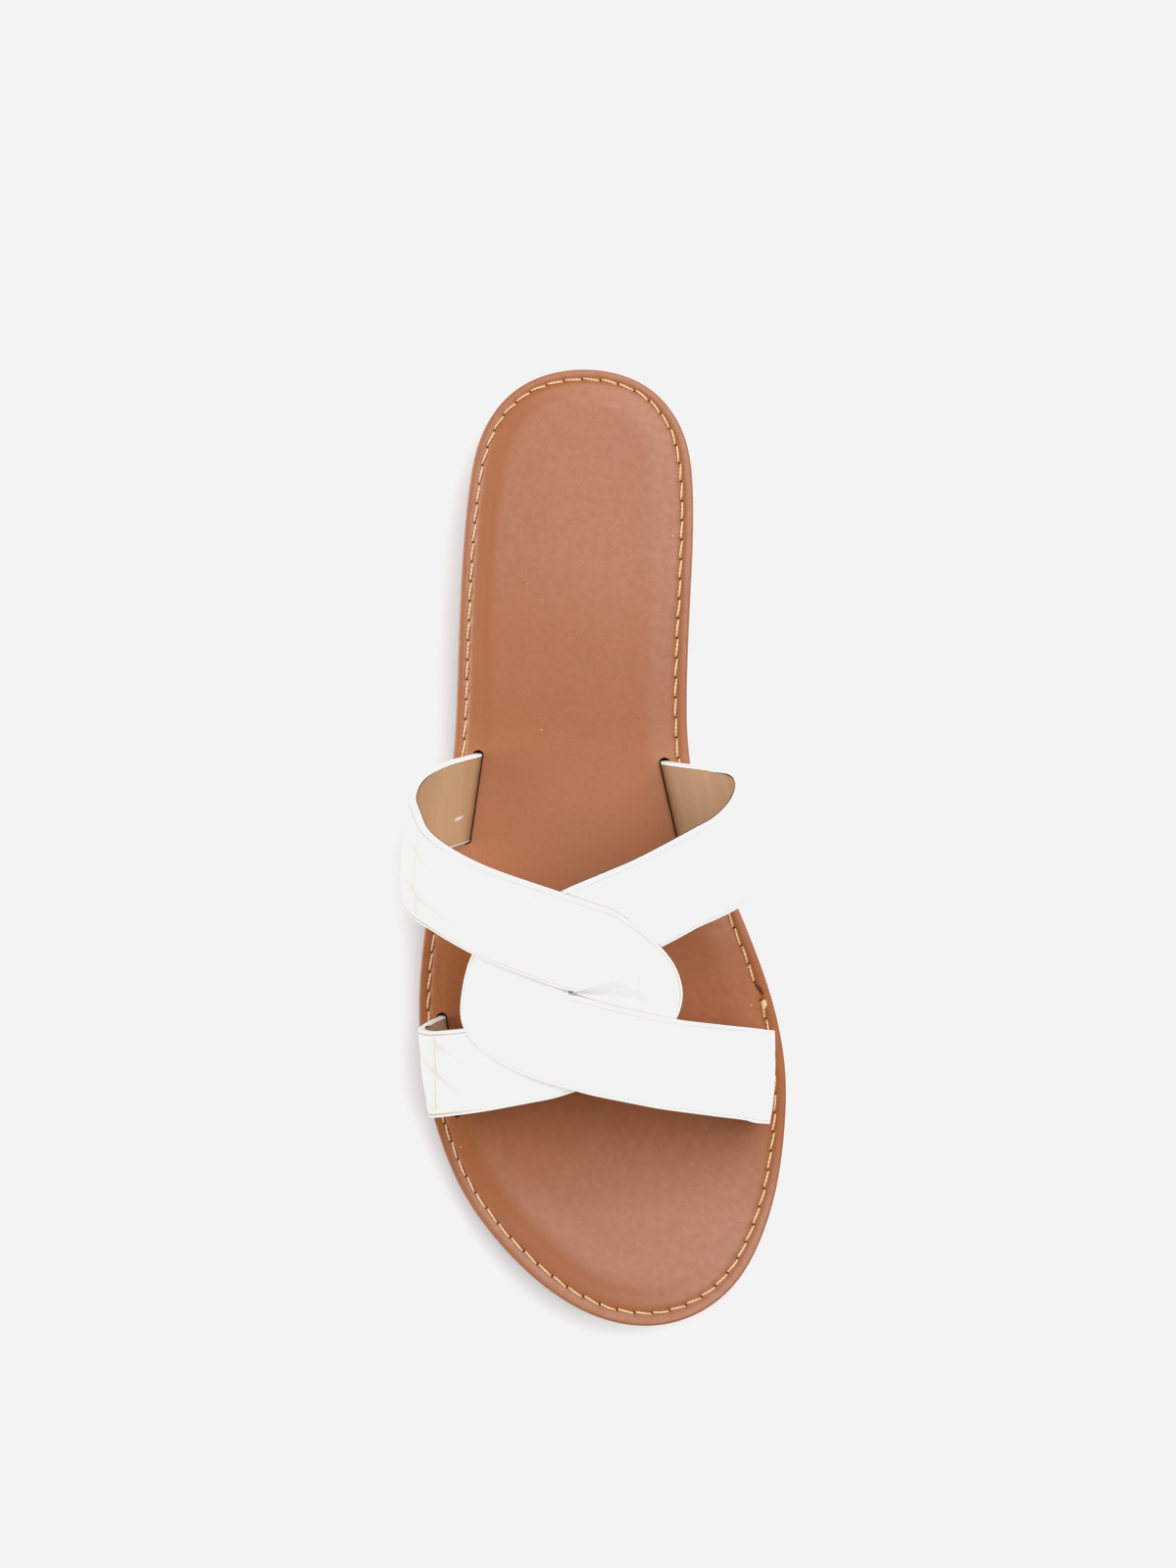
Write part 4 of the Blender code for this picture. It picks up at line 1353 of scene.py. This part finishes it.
@dataclass
class Strap:
    """One of the two linked straps, a closed band of leather, painted edges and lining.

    The dark glue under the paint peeks out as a painted contact shadow where an edge is free, also on the
    far side of the other strap (far_around, far_along). Zones are a start and a length in around or along.
    """

    name: str
    table: list[StrapRow]
    side: Side
    vamp: Vamp
    slots: Slots
    scales: Scales
    thickness: float = 0.0020
    contact: float = 0.00012
    rows: int = 620
    columns: int = 60
    under_columns: int = 16
    edge_fade: float = 0.0012
    flat_press: float = 0.15
    medial_press: float = 0.55
    # Share of the painted side shade and trough shade on the medial side, which gets more light.
    medial_shade: float = 0.15
    far_around: tuple[float, float] = (0.28, 0.04)
    far_along: tuple[float, float] = (0.668, 0.01)
    tuck_zone: tuple[float, float] = (1.12, 0.25)
    bend_zone: tuple[float, float] = (0.35, 0.45)
    # Zone of the painted shade on the lining near the slots.
    slot_shade_zone: tuple[float, float] = (1.78, 0.22)
    glue_peek: float = 0.00022
    merge: float = 0.0000005

    edge_rows = [EdgeRow(*row) for row in (
        (0.00100, 1.000, 0.00100, 1.000, Face.LINE),
        (0.00076, 0.910, 0.00076, 0.910, Face.LINE),
        (0.00052, 0.985, 0.00052, 0.985, Face.PAINT),
        (0.00020, 0.985, 0.00020, 0.985, Face.PAINT),
        (0.00005, 0.860, 0.00005, 0.860, Face.PAINT),
        (0.00000, 0.600, 0.00000, 0.600, Face.PAINT),
        (-0.00003, 0.000, -0.00003, 0.000, Face.PAINT),
        (0.00000, -0.600, 0.00000, -0.600, Face.PAINT),
        (0.00004, -0.800, 0.00006, -0.900, Face.PAINT),
        (0.00004, -0.850, 0.00060, -1.000, Face.PAINT),
        (0.00003, -0.860, 0.00062, -1.000, Face.GLUE),
        (0.00003, -0.960, 0.00068, -1.000, Face.GLUE),
        (0.00030, -1.000, 0.00072, -1.000, Face.GLUE),
        (0.00034, -1.000, 0.00076, -1.000, Face.LINING),
    )]

    def rails(self) -> tuple[list[Array], Array]:
        """The five columns of the table as smooth functions along the strap, and their width."""
        ends = column(SLOT_ENDS, self.side.name.lower() + "_along")
        rear = StrapRow(2.0, ends[1], 2.0, ends[0], 0.0)
        front = StrapRow(2.0, ends[2], 2.0, ends[3], 0.0)
        rows = np.array([rear, *self.table, front])
        rows[:, [0, 2]] *= self.side.value
        inner = self.vamp.point(rows[:, 0], rows[:, 1])
        outer = self.vamp.point(rows[:, 2], rows[:, 3])
        knots = run_along(inner) + run_along(outer)
        at = np.linspace(0.0, knots[-1], self.rows + 1)
        read = [local_spline(knots, values, at)[:, None] for values in rows.T]
        breadth = self.vamp.point(read[2], read[3]) - self.vamp.point(read[0], read[1])
        return read, np.linalg.norm(breadth, axis=-1)

    def edge(self, width: Array, tuck: Array, free: Array) -> list[tuple[Array, Array, Face]]:
        """Points of one edge at each row.

        Args:
            width: the strap's width at each row.
            tuck: 1 at the slots and 0 above the bulge.
            free: 0 where this edge lies on the other strap, where the dark glue, a painted contact shadow,
                doesn't peek out.

        Returns:
            For each point its share of the width, its share of half the thickness and its kind.
        """
        points = []
        for row in self.edge_rows:
            # Where an edge is free, the dark glue peeks out past it: a painted contact shadow against the
            # footbed.
            peeks = row.kind is Face.GLUE and row.height > -0.99
            peek = self.glue_peek * free * (1.0 - tuck) * peeks
            margin = row.margin * (1.0 - tuck) + row.slot_margin * tuck - peek
            points.append((margin / width, row.height * (1.0 - tuck) + row.slot_height * tuck, row.kind))
        return points

    def section(self, width: Array, tuck: Array, free: list[Array]) -> tuple[Array, Array, list[Face]]:
        """Closed section of the band at each row, rows by points, and the points' kinds."""
        inner, outer = (self.edge(width, tuck, share) for share in free)
        points = list(reversed(inner))
        even = np.ones_like(width)
        for count, order, low, height, kind in ((self.columns, 1, inner[0][0], even, Face.LEATHER),
                                                (self.under_columns, -1, outer[-1][0], -even, Face.LINING)):
            shares = np.linspace(0.0, 1.0, count + 1)[1:-1][::order]
            points += [(low + (1.0 - 2.0 * low) * share, height, kind) for share in shares]
            if kind is Face.LEATHER:
                points += [(1.0 - share, *rest) for share, *rest in outer]
        across, heights = (np.column_stack([point[part] for point in points]) for part in (0, 1))
        return across, heights, [point[2] for point in points]

    def press(self, bent: Array) -> Array:
        """Strength of the scales: weak on the flat top, full where the strap is bent."""
        return self.flat_press + (1.0 - self.flat_press) * bent

    def build(self, finishes: list[Material]) -> Object:
        """The band as one closed mesh.

        Args:
            finishes: materials in the order of Face.

        Returns:
            The strap: its middle surface, moved along the normal by the layer, half the
            thickness and the scales' relief on the outer face.
        """
        rails, width = self.rails()
        inner_around, _, outer_around, outer_along, layer = (rail[:, 0] for rail in rails)
        free = 1.0 - np.clip(layer, 0.0, 1.0)
        far = smooth_step(-self.side.value * outer_around, *self.far_around)
        far = far * (1.0 - smooth_step(outer_along, *self.far_along))
        tuck = smooth_step(np.abs(inner_around), *self.tuck_zone)
        across, heights, kinds = self.section(width[:, 0], tuck, [free, np.maximum(free, far)])
        around = rails[0] * (1.0 - across) + rails[2] * across
        along = rails[1] * (1.0 - across) + rails[3] * across
        girth = self.vamp.girth(around, along)
        down = along * self.vamp.plan.length
        margin = np.minimum(across, 1.0 - across) * width
        fade = smooth_step(margin, self.edge_rows[0].margin, self.edge_fade)
        open_face = fade * np.array([kind is Face.LEATHER for kind in kinds])[None, :]
        bent = smooth_step(np.abs(around), *self.bend_zone)
        relief, trough = self.scales.relief(girth, down)
        relief = relief * self.press(bent * np.where(around < 0.0, 1.0, self.medial_press)) * open_face
        # The painted side shade and trough shade are weaker on the medial side.
        bent = bent * np.where(around < 0.0, 1.0, self.medial_shade)
        # Painted shade in the troughs, weaker on the flat top; the mesh carries it as a number.
        trough = trough * self.press(bent) * open_face
        height = heights * self.thickness / 2.0 + rails[4] * (self.thickness / 2.0 + self.contact) + relief
        grid = self.vamp.point(around, along) + self.vamp.normal(around, along) * height[..., None]
        grid = with_ends(grid)
        grid[[0, -1]] -= (0.0, 0.0, self.slots.tab())
        uv = with_ends(np.stack((girth, down), axis=-1))
        mesh = grid_mesh(self.name, grid, True, uv, self.face_slots(kinds), caps=True)
        # Share of the painted shade on the lining near the slots, carried as a number.
        fold = smooth_step(np.abs(around), *self.slot_shade_zone)
        for title, values in (("crease", trough), ("tuck", fold), ("bent", bent)):
            layer = mesh.attributes.new(title, "FLOAT", "POINT")
            layer.data.foreach_set("value", with_ends(values).ravel())
        tidy_mesh(mesh, self.merge)
        piece = new_piece(self.name, mesh, finishes)
        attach(piece, "root")
        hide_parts("upper")
        LOG.info("%s: %d faces", self.name, len(mesh.polygons))
        return piece

    def face_slots(self, kinds: list[Face]) -> Array:
        """Material slot of each column of quads: its two edges' kind, or the first of an order."""
        order = (Face.LEATHER, Face.LINING, Face.GLUE, Face.LINE, Face.PAINT)
        pairs = zip(kinds, [*kinds[1:], kinds[0]])
        return np.array([min(pair, key=order.index).value for pair in pairs])


@dataclass
class Studio:
    """Pale floor, soft light and the photograph's camera, straight over the shoe."""

    plan: SolePlan
    camera_height: float = 1.6
    focus_height: float = 0.013
    sole_pixels: float = 974.0
    heel_pixel: tuple[float, float] = (594.0, 378.0)
    photo_pixels: tuple[float, float] = (1200.0, 1600.0)
    sensor: float = 0.024
    floor_size: float = 6.0
    floor_tone: float = 0.84
    floor_mottle: float = 0.80
    floor_glow: float = 0.13
    fill_power: float = 0.38
    paper_white: float = 0.896

    lamps = [
        LampRow("key", 3.05, 64.0, -20.0, 24.0),
        LampRow("bounce", 1.72, 36.0, 0.0, -66.0),
    ]

    def camera(self) -> None:
        """Camera whose middle pixel and scale are the photograph's."""
        scale = self.plan.length / self.sole_pixels
        data = bpy.data.cameras.new("camera")
        data.sensor_fit = "VERTICAL"
        data.sensor_height = self.sensor * 1000.0
        view_height = self.photo_pixels[1] * scale
        data.lens = data.sensor_height * (self.camera_height - self.focus_height) / view_height
        data.clip_start = 0.05
        data.clip_end = 20.0
        camera = bpy.data.objects.new("camera", data)
        x = self.plan.heel_x + (self.photo_pixels[0] / 2.0 - self.heel_pixel[0]) * scale
        y = self.plan.heel_y - (self.photo_pixels[1] / 2.0 - self.heel_pixel[1]) * scale
        camera.location = (x, y, self.camera_height)
        bpy.context.scene.collection.objects.link(camera)
        bpy.context.scene.camera = camera

    def floor(self) -> None:
        """Wide pale floor that glows a little, so that shadows on it stay faint."""
        size = self.floor_size
        corners = np.array([[(x, y, 0.0) for y in (-size, size)] for x in (-size, size)])
        nodes = Nodes("pale_floor")
        grain = nodes.noise(nodes.place(), 220.0, 2.0)
        tone, mottle = ((value, value, value) for value in (self.floor_tone, self.floor_mottle))
        base = nodes.mix(nodes.remap(grain, 0.0, 1.0, 0.0, 0.02), tone, mottle)
        nodes.feed(nodes.shader.inputs["Base Color"], base)
        settings = {"Roughness": 0.9, "Specular IOR Level": 0.0, "Emission Color": (1.0, 1.0, 1.0, 1.0),
                    "Emission Strength": self.floor_glow}
        for name, value in settings.items():
            nodes.shader.inputs[name].default_value = value
        floor = new_piece("floor", grid_mesh("floor", corners, False), [nodes.material])

    def lights(self) -> None:
        """Soft lamps in a white surround: one high at the heel and the medial side, one low and lateral."""
        for row in self.lamps:
            data = bpy.data.lights.new(row.name, "SUN")
            data.energy = row.power
            data.angle = math.radians(row.spread)
            lamp = bpy.data.objects.new(row.name, data)
            lamp.rotation_euler = (math.radians(row.turn_x), math.radians(row.turn_y), 0.0)
            bpy.context.scene.collection.objects.link(lamp)
        world = bpy.data.worlds.new("studio")
        world.use_nodes = True
        surround = world.node_tree.nodes["Background"].inputs
        surround["Color"].default_value = (1.0, 1.0, 1.0, 1.0)
        surround["Strength"].default_value = self.fill_power
        bpy.context.scene.world = world

    def exposure(self) -> None:
        """Highlights held at the photograph's paper white, everything darker left as it is."""
        view = bpy.context.scene.view_settings
        view.view_transform = "Standard"
        view.use_curve_mapping = True
        view.curve_mapping.extend = "HORIZONTAL"
        points = view.curve_mapping.curves[3].points
        points[-1].location = (1.0, self.paper_white)
        points.new(self.paper_white, self.paper_white)
        for point in points:
            point.handle_type = "VECTOR"
        view.curve_mapping.update()

    def build(self) -> None:
        """Camera, floor and lights."""
        self.camera()
        self.floor()
        self.lights()
        self.exposure()
        LOG.info("studio: camera %.2f m up", self.camera_height)


def strap_finishes() -> list[Material]:
    """Materials of a strap, in the order of Face."""
    # Painted shade: the darker colour of the groove between the leather's face and the painted edge.
    line = (0.440, 0.395, 0.320)
    pale_spot = Mark((-0.0352, 0.0076, 0.0216), math.radians(30.0), 0.0012, 0.0004, (0.780, 0.740, 0.760))
    finishes = [
        PressedLeather("white_scales", (0.845, 0.840, 0.830), (0.830, 0.823, 0.807), (0.684, 0.668, 0.625),
                       (0.605, 0.577, 0.520), 0.30, 0.35),
        PressedLeather("edge_line", (0.700, 0.680, 0.630), (0.640, 0.615, 0.560), line, line, 0.55, 0.0),
        PlainFinish("edge_paint", (0.900, 0.900, 0.895), (0.880, 0.880, 0.870), 0.38, 700.0, 0.00015),
        # Dark glue, partly a painted contact shadow where it peeks out past the edge.
        PlainFinish("glue_line", (0.110, 0.055, 0.030), (0.070, 0.035, 0.020), 0.6, 1500.0, 0.0001),
        LiningLeather("tan_lining", (0.500, 0.302, 0.171), (0.448, 0.262, 0.141), (0.170, 0.085, 0.040),
                      pale_spot, 0.42),
    ]
    return [finish.make() for finish in finishes]


def main() -> None:
    """Build the studio and the sandal's pieces in order."""
    logging.basicConfig(level=logging.INFO, format="%(name)s: %(message)s")
    low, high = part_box("footbed")
    plan = SolePlan(length=high[1] - low[1], ball_width=0.0955)
    Studio(plan).build()
    strap_thickness = 0.0020
    slots = Slots(plan, strap_thickness)
    footbed = Footbed(plan, slots)
    scar = Mark((0.0428, -0.0369, 0.0103), math.radians(-55.0), 0.0018, 0.00050, (0.090, 0.030, 0.028))
    tan = SmoothLeather("tan_leather", (0.326, 0.106, 0.032), (0.268, 0.084, 0.025), (0.430, 0.165, 0.066),
                        (0.110, 0.028, 0.011), scar, 0.39, 0.62, footbed.seam_inset, footbed.pitch())
    cut_edge = PlainFinish("cut_edge", (0.030, 0.016, 0.010), (0.018, 0.010, 0.007), 0.8, 900.0, 0.0002)
    footbed.build(tan.make(), cut_edge.make())
    thread = PlainFinish("gold_thread", (0.830, 0.590, 0.340), (0.540, 0.310, 0.130),
                         0.45, 2600.0, 0.0001, 0.2)
    Seam(footbed).build(thread.make())
    rubber = PlainFinish("brown_rubber", (0.165, 0.075, 0.042), (0.135, 0.060, 0.034), 0.60, 1200.0, 0.00012)
    Outsole(plan).build(rubber.make())
    finishes = strap_finishes()
    vamp = Vamp(plan, instep_height=0.066)
    for name, table, side in (("lateral_strap", LATERAL_STRAP, Side.LATERAL),
                              ("medial_strap", MEDIAL_STRAP, Side.MEDIAL)):
        Strap(name, table, side, vamp, slots, Scales(), strap_thickness).build(finishes)


if __name__ == "__main__":
    main()
